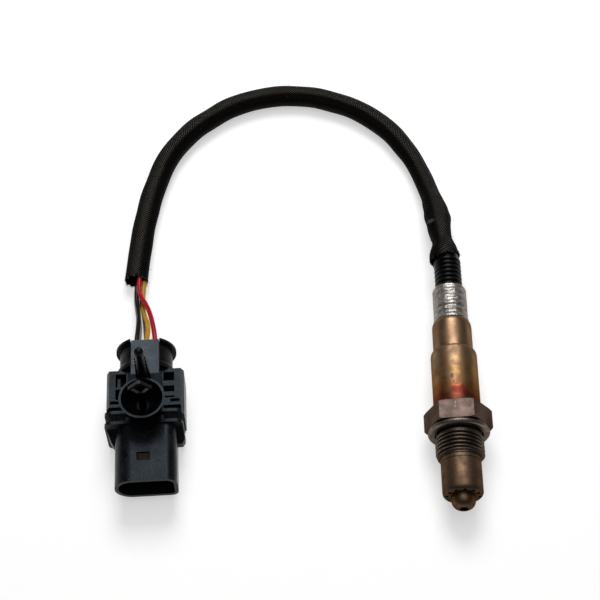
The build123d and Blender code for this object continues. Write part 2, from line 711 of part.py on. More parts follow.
# ============================ rear cap, seal, terminals ====================================
# A turned shape: collar against the housing, a cone down to the neck, and the end flange.
with BuildPart() as rear_cap:
    with BuildSketch(side_plane):
        collar_end_v = bracket_end_v + cap_collar_length
        with BuildLine():
            Polyline((bracket_end_v + gap, 0), (bracket_end_v + gap, cap_collar_diameter / 2),
                     (collar_end_v, cap_collar_diameter / 2),
                     (collar_end_v + cap_cone_length, cap_neck_diameter / 2),
                     (flange_v, cap_neck_diameter / 2), (flange_v, rear_flange_diameter / 2),
                     (cap_end_v, rear_flange_diameter / 2), (cap_end_v, 0), close=True)
        make_face()
    revolve(axis=Axis(plug_centre, rearward))
    # flat under the housing's arm
    with BuildSketch(deck_plane.offset(arm_bottom - gap)):
        with Locations((arm_u, (bracket_end_v + cap_end_v) / 2)):
            Rectangle(arm_width + 4 * gap, cap_end_v - bracket_end_v + 2 * gap)
    extrude(amount=rear_flange_diameter / 2, mode=Mode.SUBTRACT)
    # bore for the seal, and the narrower throat for the crimp barrels in front of it
    with BuildSketch(mouth_plane.offset(-cap_end_v)):
        Circle(seal_diameter / 2)
    extrude(amount=cap_end_v - seal_start_v, mode=Mode.SUBTRACT)
    with BuildSketch(mouth_plane.offset(-seal_start_v)):
        Rectangle(2 * cavity_pitch_u + cavity_size, cavity_pitch_h + cavity_size)
    extrude(amount=seal_start_v - bracket_end_v, mode=Mode.SUBTRACT)
save(rear_cap, "rear_cap")

with BuildPart() as wire_seal:
    with BuildSketch(mouth_plane.offset(-seal_start_v)):
        Circle(seal_diameter / 2 - slip)
        with Locations(*cavities):
            Circle(wire_diameter / 2 + slip, mode=Mode.SUBTRACT)
    extrude(amount=-seal_length)
save(wire_seal, "wire_seal")

with BuildPart() as cavity_plug:
    with BuildSketch(mouth_plane.offset(-seal_start_v)):
        with Locations(blank):
            Circle(wire_diameter / 2)
    extrude(amount=-seal_length)
    with BuildSketch(mouth_plane.offset(-seal_end_v)):
        with Locations(blank):
            Circle(wire_diameter / 2 + 4 * slip)
    extrude(amount=-seal_recess / 2)
save(cavity_plug, "cavity_plug")

with BuildPart() as terminal_lock:
    with BuildSketch(mouth_plane.offset(lock_thickness - socket_depth)):
        Rectangle(2 * cavity_pitch_u + cavity_size, cavity_pitch_h + cavity_size)
        with Locations(*cavities):
            Rectangle(pin_width + 2 * gap, pin_thickness + 2 * gap, mode=Mode.SUBTRACT)
    extrude(amount=-lock_thickness)
save(terminal_lock, "terminal_lock")

for colour, (u, h) in wired.items():
    with BuildPart() as terminal:
        with BuildSketch(mouth_plane.offset(pin_reach - socket_depth)):
            with Locations((u, h)):
                Rectangle(pin_width, pin_thickness)
        extrude(amount=-(terminal_front_v - socket_depth + pin_reach))
        pin_tip = terminal.faces().sort_by(Axis.Y)[0]
        chamfer(pin_tip.edges(), pin_thickness / 4)
        with BuildSketch(mouth_plane.offset(-terminal_front_v)):
            with Locations((u, h)):
                Rectangle(terminal_size, terminal_size)
        extrude(amount=-(terminal_rear_v - terminal_front_v))
        with BuildSketch(mouth_plane.offset(-terminal_rear_v)):
            with Locations((u, h)):
                Circle(barrel_diameter / 2)
        extrude(amount=-(barrel_end_v - terminal_rear_v))
    save(terminal, f"terminal_{colour}")

# ============================ push-in clip =================================================
carriage_top = arm_top + carriage_plate
hook_bottom = arm_bottom - gap - carriage_lip
cup_axis = Axis(plug_point(clip_u, clip_v, 0), (0, 0, 1))
cup_plane = Plane(origin=plug_point(clip_u, clip_v, carriage_top), x_dir=across, z_dir=mouthward)
post_plane = Plane(origin=plug_point(post_u, post_v, carriage_top), x_dir=across, z_dir=(0, 0, 1))

with BuildPart() as mounting_clip:
    # carriage: a plate on the arm with lips that hook under both of its edges
    half_arm = arm_width / 2 + gap
    with BuildSketch(mouth_plane.offset(-carriage_front_v)):
        with Locations((arm_u, (arm_top + carriage_top) / 2)):
            Rectangle(2 * (half_arm + carriage_lip), carriage_plate)
    extrude(amount=-(carriage_rear_v - carriage_front_v))
    hook_start_v = rear_fin_v + fin_thickness + gap
    with BuildSketch(mouth_plane.offset(-hook_start_v)):
        for side in (1, -1):
            with Locations((arm_u + side * (half_arm + carriage_lip / 2),
                            (hook_bottom + arm_top) / 2)):
                Rectangle(carriage_lip, arm_top - hook_bottom)
            with Locations((arm_u + side * (half_arm - gap), hook_bottom + carriage_lip / 2)):
                Rectangle(2 * carriage_lip, carriage_lip)
    extrude(amount=-(carriage_rear_v - hook_start_v))
    # cup: a thin dished flange that presses on the panel
    with BuildSketch(cup_plane) as cup_section:
        foot_r = cup_foot_diameter / 2
        rim_r = cup_rim_diameter / 2
        with BuildLine():
            Line((0, 0), (foot_r, 0))
            Spline((foot_r, 0), (rim_r, cup_height), tangents=((1, 0.35), (0.55, 1)))
            Line((rim_r, cup_height), (rim_r - cup_wall, cup_height))
            Spline((rim_r - cup_wall, cup_height), (foot_r - cup_wall / 2, cup_wall),
                   tangents=((-0.55, -1), (-1, -0.35)))
            Line((foot_r - cup_wall / 2, cup_wall), (0, cup_wall))
            Line((0, cup_wall), (0, 0))
        make_face()
    revolve(axis=cup_axis)
    # anchor: a stem with two spring legs that close in a diamond and snap behind the panel
    with BuildSketch(cup_plane):
        with Locations((0, anchor_low / 2)):
            Rectangle(anchor_stem_width, anchor_low + anchor_leg)
        with BuildLine():
            Polyline((-anchor_leg, anchor_low), (anchor_leg, anchor_low),
                     (anchor_reach, anchor_corner), (anchor_leg / 2, anchor_height),
                     (-anchor_leg / 2, anchor_height), (-anchor_reach, anchor_corner), close=True)
        make_face()
        with BuildLine():
            Polyline((0, anchor_low + anchor_leg), (anchor_reach - anchor_leg, anchor_corner),
                     (0, anchor_height - 2 * anchor_leg), (anchor_leg - anchor_reach, anchor_corner),
                     close=True)
        make_face(mode=Mode.SUBTRACT)
    extrude(amount=anchor_depth / 2, both=True)
    # post: a tapered stem with two tapered fins, stepped sides and a round head
    head_z = post_height - post_head_radius
    with BuildSketch(post_plane):
        Circle(post_foot_radius)
    with BuildSketch(post_plane.offset(head_z)):
        Circle(post_neck_radius)
    loft()
    with Locations(post_plane.offset(head_z).location):
        Sphere(post_head_radius)
    with BuildSketch(Plane(origin=post_plane.origin, x_dir=across, z_dir=mouthward)):
        with BuildLine():
            Polyline((-post_fin_reach, 0), (post_fin_reach, 0), (post_neck_radius, head_z),
                     (-post_neck_radius, head_z), close=True)
        make_face()
        for tooth in range(post_tooth_count):
            tooth_z = head_z - post_tooth_pitch * (tooth + 2)
            tooth_u = post_fin_reach + (post_neck_radius - post_fin_reach) * tooth_z / head_z
            for side in (1, -1):
                with BuildLine():
                    Polyline((side * (tooth_u - post_tooth), tooth_z),
                             (side * (tooth_u + post_tooth), tooth_z),
                             (side * (tooth_u - post_tooth), tooth_z + post_tooth_pitch),
                             close=True)
                make_face()
    extrude(amount=post_fin_thickness / 2, both=True)
save(mounting_clip, "mounting_clip")
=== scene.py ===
# %% [markdown]
# # Oxygen sensor with a sleeved lead and a six way plug
# The sensor screws into an exhaust pipe. Its lead runs through a braided sleeve to a plug,
# which clips to a bracket. The frame holds every solid piece in its true place, and this
# lesson gives the pieces the look that they have after some service: heat-tinted steel, dusty
# mouldings, a braided sleeve and five wires. Distances are in metres. The sensor's axis is Y,
# and its tip points towards -Y.

# %% load the frame
import math

import bmesh
import bpy
import numpy as np
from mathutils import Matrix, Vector


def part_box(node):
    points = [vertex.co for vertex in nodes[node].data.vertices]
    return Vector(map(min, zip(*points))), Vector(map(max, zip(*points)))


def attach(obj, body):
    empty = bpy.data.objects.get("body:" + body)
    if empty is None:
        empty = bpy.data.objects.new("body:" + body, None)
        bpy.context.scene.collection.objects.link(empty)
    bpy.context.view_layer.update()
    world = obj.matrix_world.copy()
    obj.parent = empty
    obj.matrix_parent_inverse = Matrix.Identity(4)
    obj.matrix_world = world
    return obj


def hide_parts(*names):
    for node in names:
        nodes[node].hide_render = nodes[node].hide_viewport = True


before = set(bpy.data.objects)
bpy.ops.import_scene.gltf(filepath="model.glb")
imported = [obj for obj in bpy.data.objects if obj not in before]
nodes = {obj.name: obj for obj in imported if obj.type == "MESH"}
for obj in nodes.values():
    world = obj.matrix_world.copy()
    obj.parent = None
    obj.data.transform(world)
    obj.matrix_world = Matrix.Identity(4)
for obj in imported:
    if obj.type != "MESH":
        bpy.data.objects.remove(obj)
bpy.context.view_layer.update()

# %% [markdown]
# ## Camera
# The camera looks down along the sensor at 57 degrees above the floor, so that the whole loop
# of the lead, the plug's top and the sensor's length show at once. A wide lens close by would
# swell the near pieces. An 84 mm lens on 36 mm film stands further off, and keeps the far
# pieces nearly as large as the near ones.

# %% camera
LENS_MM = 84.0
FILM_MM = 36.0
LOOK_DOWN_DEGREES = 56.83
CAMERA_PLACE = (-0.05865, -0.2425, 0.4593)
scene = bpy.context.scene
scene.view_settings.view_transform = "Standard"


def into_scene(name, data):
    """A new object of the given data, linked into the scene."""
    made = bpy.data.objects.new(name, data)
    scene.collection.objects.link(made)
    return made


camera = into_scene("Camera", bpy.data.cameras.new("Camera"))
camera.data.lens = LENS_MM
camera.data.sensor_width = FILM_MM
camera.location = CAMERA_PLACE
camera.rotation_euler = (math.radians(90 - LOOK_DOWN_DEGREES), 0, 0)
scene.camera = camera
print("camera at", tuple(camera.location))

# %% [markdown]
# ## The floor and the plug's own directions
# The sensor rests on the corners of its hexagon and the plug on its rails, so both share one
# floor. The plug lies a few degrees askew on it. Its pieces are easiest to place across it,
# back from its mouth and up from its middle, so it gets three directions of its own.

# %% floor height and the plug's directions
MM = 0.001
FLOOR_Z = -0.01182
LEAD_Z = FLOOR_Z + 4.75 * MM
PLUG_MOUTH = Vector((-0.1140, -0.0233, FLOOR_Z + 0.01175))
PLUG_YAW = math.radians(3.4)
ACROSS = Vector((math.cos(PLUG_YAW), math.sin(PLUG_YAW), 0))
REARWARD = Vector((-math.sin(PLUG_YAW), math.cos(PLUG_YAW), 0))
UP = Vector((0, 0, 1))


def plug_point(u, v, h):
    """A point of the plug in the frame: across it, back from its mouth and up, in mm."""
    return PLUG_MOUTH + MM * (u * ACROSS + v * REARWARD + h * UP)


print("plug's mouth at", PLUG_MOUTH[:], "and 50 mm behind it", plug_point(0, 50, 0)[:])

# %% [markdown]
# ## The lead's route
# A lead is springy, so it lies in wide, even curves. Arcs and straight runs would show the
# place where each arc starts, as bent wire does. Here a short list of points shapes one spline
# of order three, which passes near them and turns gently. The sleeve leaves the boot along the
# sensor's axis, sinks to the floor and comes back round to the plug.

# %% the sleeve's route
SLEEVE_DROP = [(0, 78, 0), (0, 90, 0), (-1.2, 103, -2.7), (-3.3, 116, -5.9)]
SLEEVE_LOOP = [(-7.6, 129.5), (-15.2, 143.8), (-28, 158.3), (-46.5, 167.8), (-66, 170.4),
               (-85.5, 165.5), (-101.8, 153.5), (-113.6, 138.5), (-119.5, 120), (-122.6, 101),
               (-123.9, 84), (-124.3, 71)]
sleeve_route = [Vector(place) * MM for place in SLEEVE_DROP]
sleeve_route += [Vector((x * MM, y * MM, LEAD_Z)) for x, y in SLEEVE_LOOP]


def route_curve(name, route, steps):
    """A smooth open curve of order three that runs close to the route's points."""
    data = bpy.data.curves.new(name, "CURVE")
    data.dimensions = "3D"
    spline = data.splines.new("NURBS")
    spline.points.add(len(route) - 1)
    for point, place in zip(spline.points, route):
        point.co = (*place, 1)
    spline.order_u = 3
    spline.use_endpoint_u = True
    data.resolution_u = steps
    return into_scene(name, data)


print("sleeve's route", len(sleeve_route), "points, from", sleeve_route[0][:])

# %% [markdown]
# ## The wires
# Five wires leave the sleeve's cut end side by side, bow up a little and enter the plug's seal
# in two rows of three, with one place left empty. A wire is a plain round cord, so a curve
# with a round bevel is all that it needs. Each starts in the sleeve's cut end, comes straight
# out of it and ends inside the seal.

# %% the wires
# start on the sleeve's end (right, up), two points of the frame, cavity (across, up), in mm
WIRE_PLAN = {
    "red": ((1.5, 2.4), (-118.6, 56.5, -2.4), (-115.6, 46.5, 1.0), (3.8, 2.6)),
    "yellow": ((3.2, 0.1), (-120.6, 55.5, -5.6), (-117.2, 46.0, -0.8), (0, 2.6)),
    "black": ((0.5, 0.4), (-122.3, 55.5, -5.0), (-121.2, 46.5, -0.4), (-3.8, 2.6)),
    "white": ((0.2, -1.9), (-122.6, 55.0, -8.0), (-121.0, 46.5, -4.6), (-3.8, -2.6)),
    "grey": ((2.3, -2.0), (-120.4, 56.0, -8.2), (-118.8, 46.5, -4.8), (0, -2.6)),
}
WIRE_STUB = 7 * MM
WIRE_RADIUS = 0.95 * MM
WIRE_STEPS = 16
BEVEL_STEPS = 5
BEHIND_SEAL_V = 59.15
WIRE_END_V = 49.5
end_run = (sleeve_route[-1] - sleeve_route[-2]).normalized()
end_right = Vector((-end_run.y, end_run.x, 0))
wires = {}
for colour, ((right, up), first, second, (u, h)) in WIRE_PLAN.items():
    start = sleeve_route[-1] + MM * (right * end_right + up * UP)
    route = [start, start + WIRE_STUB * end_run, Vector(first) * MM, Vector(second) * MM,
             plug_point(u, BEHIND_SEAL_V, h), plug_point(u, WIRE_END_V, h)]
    wire = route_curve(f"{colour}_lead", route, WIRE_STEPS)
    wire.data.bevel_depth = WIRE_RADIUS
    wire.data.bevel_resolution = BEVEL_STEPS
    wire.data.use_fill_caps = True
    wires[colour] = (wire, start)
    low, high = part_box(f"wire_{colour}")
    print(colour, "starts", [round(c, 4) for c in start], "CAD box", low[:], high[:])

# %% [markdown]
# ## The sleeve
# The braided sleeve is a thin tube that slips over the wires. A bevelled curve would give an
# even tube, but a real sleeve is never even: it folds on the inside of each bend, bags where
# it is slack and gathers over the boot. So its surface is worked out point by point round a
# centreline. The route's curve, read as a plain list of points, is that centreline.

# %% the sleeve's centreline
GUIDE_STEPS = 24
guide = route_curve("sleeve guide", sleeve_route, GUIDE_STEPS)
bpy.context.view_layer.update()
evaluated = guide.evaluated_get(bpy.context.evaluated_depsgraph_get())
line_mesh = bpy.data.meshes.new_from_object(evaluated)
centreline = np.array([v.co for v in line_mesh.vertices])
bpy.data.objects.remove(guide)
step_lengths = np.linalg.norm(np.diff(centreline, axis=0), axis=1)
travel = np.concatenate([[0], np.cumsum(step_lengths)])
sleeve_length = travel[-1]
print("sleeve length", round(sleeve_length, 4), "points", len(centreline))

# %% [markdown]
# ### Where the sleeve is slack
# Near the boot the sleeve was pushed up. There it bulges, pulls in and hangs to one side of
# the wires inside it. A table gives its radius and its drift at a few distances from the
# boot, and a short running mean takes the kinks out of the table.

# %% the slack stretch
# distance from the boot, radius and drift to the left, all in mm
SLACK = [(-3, 6.0, 0.7), (1, 6.2, 0.8), (4.5, 5.2, 0.8), (7.5, 4.15, 1.1), (10.5, 4.35, 1.4),
         (14, 4.85, 1.7), (21, 5.3, 1.6), (25, 5.15, 1.5), (29, 4.7, 1.4), (34, 4.1, 1.6),
         (51, 4.0, 1.15), (62, 4.2, 0.6), (80, 4.6, 0.0)]
RADIUS_COLUMN, DRIFT_COLUMN = 1, 2
SMOOTHING_STEP = 1.5 * MM


def slack(s, column):
    """The slack sleeve's radius or drift at a distance s along it, smoothed."""
    stations = np.array(SLACK) * MM
    return sum(np.interp(s + shift, stations[:, 0], stations[:, column])
               for shift in (-SMOOTHING_STEP, 0, SMOOTHING_STEP)) / 3


def tube_points(s, a, radius):
    """Points at a distance s along the centreline, an angle a round it and a radius."""
    inside = np.clip(s, 0, sleeve_length)
    centre, ahead, behind = [
        np.stack([np.interp(inside + step, travel, centreline[:, k]) for k in range(3)], -1)
        for step in (0, MM, -MM)]
    run = ahead - behind
    run /= np.linalg.norm(run, axis=-1, keepdims=True)
    side = np.cross(run, (0, 0, 1.0))
    side /= np.linalg.norm(side, axis=-1, keepdims=True)
    lift = np.cross(side, run)
    centre = centre + run * (s - inside)[..., None]
    centre[..., 0] -= slack(s, DRIFT_COLUMN)
    return centre + radius[..., None] * (np.cos(a)[..., None] * side
                                         + np.sin(a)[..., None] * lift)


print("slack stations", len(SLACK))

# %% [markdown]
# ### Folds and bulges
# The outer surface is a grid: rows along the sleeve, columns round it. An angle of 0 looks to
# the outer side of the loop, a quarter turn up and a half turn to the inner side. Both cut
# ends are slanted and uneven. Sums of a few sine waves give soft unevenness that never
# repeats, which is cheaper than a noise texture and easy to fade in and out.

# %% the grid and its cut ends
AROUND = 72
ALONG = 620
NEAR_CUT, NEAR_SLANT, NEAR_SAG, NEAR_RIPPLE = -0.2 * MM, 1.5 * MM, 1.1 * MM, 0.3 * MM
FAR_CUT, FAR_RIPPLE = 0.5 * MM, 0.45 * MM
angle = np.linspace(0, 2 * math.pi, AROUND, endpoint=False)[None, :]
share = np.linspace(0, 1, ALONG)[:, None]
near_cut = (NEAR_CUT + NEAR_SLANT * np.cos(angle) - NEAR_SAG * np.sin(angle) ** 2
            + NEAR_RIPPLE * np.sin(5 * angle))
far_cut = sleeve_length - FAR_CUT + FAR_RIPPLE * np.sin(3 * angle) * np.cos(7 * angle)
s_out = near_cut + (far_cut - near_cut) * share
print("grid", s_out.shape, "from", s_out.min(), "to", s_out.max())

# %% soft steps, humps and waves
WAVE_PITCHES = (9 * MM, 30 * MM)
WAVES_ROUND = 4
PHASES = 6.3


def ease(low, high, x):
    """0 below low, 1 above high and a soft change between them."""
    t = np.clip((x - low) / (high - low), 0, 1)
    return t * t * (3 - 2 * t)


def hump(x, centre, width):
    """1 at the centre, and next to nothing two widths away from it."""
    return np.exp(-((x - centre) / width) ** 2)


def waves(a, s, seed, count=5):
    """A smooth uneven field over the tube from a few sums of sines, about -1 to 1."""
    draw = np.random.default_rng(seed)
    total = np.zeros(np.broadcast(a, s).shape)
    for _ in range(count):
        turns = draw.integers(0, WAVES_ROUND)
        pitch = draw.uniform(*WAVE_PITCHES)
        total += np.sin(turns * a + 2 * math.pi * s / pitch + draw.uniform(0, PHASES))
    return total / count ** 0.5


print("tools: soft steps, humps and waves")

# %% [markdown]
# Each fold is a hump across the tube, cut into it or raised on it. Two short ones make the
# pinch near the boot. Long ones lie where the sleeve is bent or runs free, and a mask says
# where that is. The bend also flattens the tube from above.

# %% the folds
UNEVEN = 0.09 * MM
GATHERED_UNEVEN = 0.13 * MM
GATHERED_SQUEEZE = 1.6
RIPPLE_DEPTH = 0.30 * MM
RIPPLES_ROUND = 4
RIPPLE_TWIST = 0.09 / MM
BEND_FLATTENING = 0.27 * MM
WIDEST = 6.2 * MM
# where the gathered part ends, the bend starts and ends and the free run starts
GATHERED_ENDS, FREE_STARTS = (22 * MM, 40 * MM), (34 * MM, 55 * MM)
BEND_STARTS, BEND_ENDS = (60 * MM, 90 * MM), (170 * MM, 200 * MM)
gathered = 1 - ease(*GATHERED_ENDS, s_out)
bend = ease(*BEND_STARTS, s_out) * (1 - ease(*BEND_ENDS, s_out))
free_run = ease(*FREE_STARTS, s_out)
# height in mm, angle and width round the tube, distance and width along it in mm
SHORT_FOLDS = [(-0.75, 2.75, 0.42, 20.6, 1.7), (0.40, 2.55, 0.40, 17.4, 1.4)]
# height in mm, angle and width round the tube, where it lies
LONG_FOLDS = [(-0.35, 5.2, 0.5, bend), (-0.32, 2.30, 0.28, free_run),
              (-0.14, 0.85, 0.25, free_run)]
r_out = slack(s_out, RADIUS_COLUMN)
r_out += UNEVEN * waves(angle, s_out, seed=3)
r_out += GATHERED_UNEVEN * gathered * waves(angle, s_out * GATHERED_SQUEEZE, seed=8)
ripple = np.maximum(np.sin(RIPPLES_ROUND * angle + RIPPLE_TWIST * s_out), 0) ** 3
r_out -= RIPPLE_DEPTH * gathered * ripple
r_out -= BEND_FLATTENING * bend * np.sin(angle) ** 2
for height, at, width, place, length in SHORT_FOLDS:
    r_out += height * MM * hump(angle, at, width) * hump(s_out, place * MM, length * MM)
for height, at, width, where in LONG_FOLDS:
    r_out += height * MM * where * hump(angle, at, width)
r_out = np.minimum(r_out, WIDEST)
print("sleeve radius from", r_out.min(), "to", r_out.max())

# %% [markdown]
# ### The wall and the mesh
# The sleeve has a thin wall. At each cut end its inner face goes back into the tube far enough
# that its closed bottom lies in the dark behind the wires. One grid holds the inner face, the
# outer face and the other inner face in turn, so the whole sleeve is one closed skin.

# %% the sleeve's mesh
SLEEVE_WALL = 0.45 * MM
INNER_ROWS = 26
INNER_DEPTH = 11 * MM


def inner_rows(edge_s, edge_r, into):
    """Rows of the inner face, from a cut edge into the tube: their distances and radii."""
    depth = np.linspace(0, 1, INNER_ROWS)[:, None]
    s = edge_s + into * INNER_DEPTH * depth
    r = edge_r - SLEEVE_WALL + slack(s, RADIUS_COLUMN) - slack(edge_s, RADIUS_COLUMN)
    return s, r


near_s, near_r = inner_rows(s_out[0], r_out[0], 1)
far_s, far_r = inner_rows(s_out[-1], r_out[-1], -1)
s_all = np.concatenate([near_s[::-1], s_out, far_s])
r_all = np.concatenate([near_r[::-1], r_out, far_r])
a_all = np.broadcast_to(angle, s_all.shape)
index = np.arange(s_all.size).reshape(s_all.shape)
ahead = np.roll(index, -1, axis=1)
quads = np.stack([index[:-1], ahead[:-1], ahead[1:], index[1:]], -1).reshape(-1, 4).tolist()
bottoms = [index[0].tolist(), index[-1][::-1].tolist()]
sleeve_mesh = bpy.data.meshes.new("woven_sleeve")
sleeve_mesh.from_pydata(tube_points(s_all, a_all, r_all).reshape(-1, 3).tolist(), [],
                        quads + bottoms)
sleeve_mesh.update()
sleeve_mesh.shade_smooth()
sleeve = into_scene("woven_sleeve", sleeve_mesh)
print("sleeve faces", len(sleeve_mesh.polygons))

# %% [markdown]
# ### The weave's map
# The yarns have to follow the tube, so the sleeve carries a map of its own: one number goes
# once round it and the other along it, both counted in turns, so that a yarn at 45 degrees on
# the map is at 45 degrees on the sleeve. Where a quad closes the ring, its far corners read 1
# in place of 0, or the whole weave would be squeezed into that quad, backwards.

# %% the weave's map
SLEEVE_RADIUS = 4.7 * MM
girth = 2 * math.pi * SLEEVE_RADIUS
loop_vertex = np.array([loop.vertex_index for loop in sleeve_mesh.loops])
row, column = np.divmod(loop_vertex, AROUND)
uv = np.stack([column / AROUND, s_all[row, column] / girth], -1)
quad_columns = column[:4 * len(quads)].reshape(-1, 4)
closes_ring = quad_columns.max(1, keepdims=True) == AROUND - 1
uv[:quad_columns.size, 0][(closes_ring & (quad_columns == 0)).ravel()] = 1.0
sleeve_mesh.uv_layers.new(name="weave").data.foreach_set("uv", uv.ravel())
print("the weave's map runs to", uv.max(0), "turns")

# %% [markdown]
# ## Tools for finishes
# A finish is a small tree of nodes. Trees could be drawn by hand in the editor, but dozens of
# nodes that are written out one by one bury the idea. A few helpers keep each tree short: one
# adds a node with its settings and links, one does arithmetic, and others mix and mask. All
# patterns run on object coordinates in metres, so a grain keeps one size on every piece.

# %% nodes and arithmetic


def fill(tree, socket, value):
    """Link a socket to another, or set its constant."""
    if isinstance(value, bpy.types.NodeSocket):
        tree.links.new(value, socket)
    elif socket.type == "RGBA":
        socket.default_value = (*value, 1)
    else:
        socket.default_value = value


def add_node(tree, kind, inputs=None, **settings):
    """A node with its settings, and each input filled with a constant or a link."""
    made = tree.nodes.new(kind)
    for name, value in settings.items():
        setattr(made, name, value)
    for name, value in (inputs or {}).items():
        fill(tree, made.inputs[name], value)
    return made


def maths(tree, operation, *values, clamp=False):
    """The result of one arithmetic step."""
    step = add_node(tree, "ShaderNodeMath", dict(enumerate(values)), operation=operation,
                    use_clamp=clamp)
    return step.outputs[0]


def product(tree, *values):
    """Several numbers multiplied together."""
    result = values[0]
    for value in values[1:]:
        result = maths(tree, "MULTIPLY", result, value)
    return result


print("tools: nodes and arithmetic")

# %% vectors


def vectors(tree, operation, *values, result="Vector"):
    """The result of one step with vectors."""
    step = add_node(tree, "ShaderNodeVectorMath", dict(enumerate(values)), operation=operation)
    return step.outputs[result]


def joined(tree, **parts):
    """A vector from its X, Y and Z."""
    return add_node(tree, "ShaderNodeCombineXYZ", parts).outputs["Vector"]


def split(tree, vector):
    """The X, Y and Z of a vector."""
    return add_node(tree, "ShaderNodeSeparateXYZ", {"Vector": vector}).outputs


print("tools: vectors")

# %% masks, mixes and noise
# a Mix node has sockets for every kind of value: 2 and 3 take numbers, 6 and 7 take colours


def rise(tree, value, low, high):
    """0 where the value is below low, 1 where it is above high, soft between."""
    step = add_node(tree, "ShaderNodeMapRange", {
        "Value": value, "From Min": low, "From Max": high}, interpolation_type="SMOOTHSTEP")
    return step.outputs["Result"]


def band(tree, value, start, full, fading, gone):
    """1 between full and fading, 0 before start and after gone, soft between."""
    return product(tree, rise(tree, value, start, full), rise(tree, value, gone, fading))


def mixed(tree, share, first, second):
    """A colour between two others, by a share of the second."""
    made = add_node(tree, "ShaderNodeMix", {0: share, 6: first, 7: second}, data_type="RGBA")
    return made.outputs[2]


def between(tree, share, first, second):
    """A number between two others, by a share of the second."""
    return add_node(tree, "ShaderNodeMix", {0: share, 2: first, 3: second}).outputs[0]


def noise(tree, place, size, detail=3.0, roughness=0.55):
    """A noise whose patches are about the given size, centred on a half."""
    scale = 1 / size if isinstance(size, float) else maths(tree, "DIVIDE", 1.0, size)
    return add_node(tree, "ShaderNodeTexNoise", {
        "Vector": place, "Scale": scale, "Detail": detail,
        "Roughness": roughness}).outputs["Fac"]


def centred_noise(tree, place, size):
    """A noise that strays to both sides of 0."""
    return maths(tree, "SUBTRACT", noise(tree, place, size), 0.5)


print("tools: masks, mixes and noise")

# %% [markdown]
# An effect that several materials share is a group with named inputs and outputs, built once.
# The main shader itself stays in each material, next to anything that reads the light.

# %% groups and materials
FLOAT = "NodeSocketFloat"


def new_group(name, inputs, outputs):
    """An empty group: its tree, its inputs by name and its outputs by name."""
    tree = bpy.data.node_groups.new(name, "ShaderNodeTree")
    for label, value in inputs.items():
        socket = tree.interface.new_socket(label, in_out="INPUT", socket_type=FLOAT)
        socket.default_value = value
    for label in outputs:
        tree.interface.new_socket(label, in_out="OUTPUT", socket_type=FLOAT)
    start, end = tree.nodes.new("NodeGroupInput"), tree.nodes.new("NodeGroupOutput")
    return tree, start.outputs, end.inputs


def use_group(tree, group, inputs=None):
    """The outputs of a shared group that is placed in a tree."""
    made = tree.nodes.new("ShaderNodeGroup")
    made.node_tree = group
    for name, value in (inputs or {}).items():
        fill(tree, made.inputs[name], value)
    return made.outputs


def new_finish(name):
    """A material with its tree, its main shader's inputs and the place on the piece."""
    material = bpy.data.materials.new(name)
    material.use_nodes = True
    tree = material.node_tree
    place = add_node(tree, "ShaderNodeTexCoord").outputs["Object"]
    return material, tree, tree.nodes["Principled BSDF"].inputs, place


def bumped(tree, height, distance, strength=1.0, under=None):
    """A normal from a height between 0 and 1 that stands for a distance in metres."""
    made = add_node(tree, "ShaderNodeBump", {"Height": height, "Distance": distance,
                                             "Strength": strength})
    if under:
        fill(tree, made.inputs["Normal"], under)
    return made.outputs["Normal"]


print("tools: groups and materials")

# %% [markdown]
# ### Shared group: wear
# Used parts are never one even colour. A picture of dirt could be wrapped round each piece,
# but it would stretch and repeat. This group works the marks out from noise: soft blotches of
# a chosen size, small specks and a fine grain. The metals, the mouldings and the rubber all
# draw on it, each with its own sizes.

# %% group: wear
BLOTCH_EDGE = (0.3, 0.7)
RAREST_SPECK = 0.78
SPECK_SPREAD = 0.4
SPECK_EDGE = 0.06
GRAIN_SIZE = 0.00025
wear, wear_in, wear_out = new_group(
    "wear", {"Blotch size": 0.006, "Speck size": 0.0007, "Speck share": 0.3},
    ["Blotches", "Specks", "Grain"])
place = add_node(wear, "ShaderNodeTexCoord").outputs["Object"]
patches = noise(wear, place, wear_in["Blotch size"], detail=5.0, roughness=0.6)
flecks = noise(wear, place, wear_in["Speck size"], detail=2.0, roughness=0.7)
fleck_low = maths(wear, "SUBTRACT", RAREST_SPECK,
                  maths(wear, "MULTIPLY", wear_in["Speck share"], SPECK_SPREAD))
fleck_high = maths(wear, "ADD", fleck_low, SPECK_EDGE)
fill(wear, wear_out["Blotches"], rise(wear, patches, *BLOTCH_EDGE))
fill(wear, wear_out["Specks"], rise(wear, flecks, fleck_low, fleck_high))
fill(wear, wear_out["Grain"], noise(wear, place, GRAIN_SIZE, detail=2.0))
print("group", wear.name, "gives", [socket.name for socket in wear_out if socket.name])

# %% the wear group put to use


def worn(tree, blotch, speck, specks):
    """The wear group with blotches and specks of the given sizes and share of specks."""
    return use_group(tree, wear, {"Blotch size": blotch, "Speck size": speck,
                                  "Speck share": specks})


def stained(tree, aged, colour, blotched, blotches, specked, specks):
    """A colour that blotches and specks lay two others over, each at its own strength."""
    soft = mixed(tree, product(tree, aged["Blotches"], blotches), colour, blotched)
    return mixed(tree, product(tree, aged["Specks"], specks), soft, specked)


def uneven(tree, aged, roughness, smoother, rougher):
    """A roughness that blotches take from a bit smoother to a bit rougher."""
    return between(tree, aged["Blotches"], roughness - smoother, roughness + rougher)


print("tools: wear")

# %% [markdown]
# ## The metals
# The shells and tubes are drawn stainless steel, which heat turns straw, tan, brown and at
# last dark red. One grey metal for all of them would miss that. So each finish is a metal with
# a satin surface, and its colour may follow the sensor's axis, as the heat comes from the tip.

# %% satin metal
TURNING_PITCH = 0.4 * MM
TURNING_HEIGHT = 0.15
METAL_GRAIN = 0.015 * MM
PRESSED_DEPTH = 0.30 * MM
METAL_BLOTCHES, METAL_SPECKS = 0.45, 0.7
METAL_EDGE_TINT = (0.45, 0.42, 0.38)


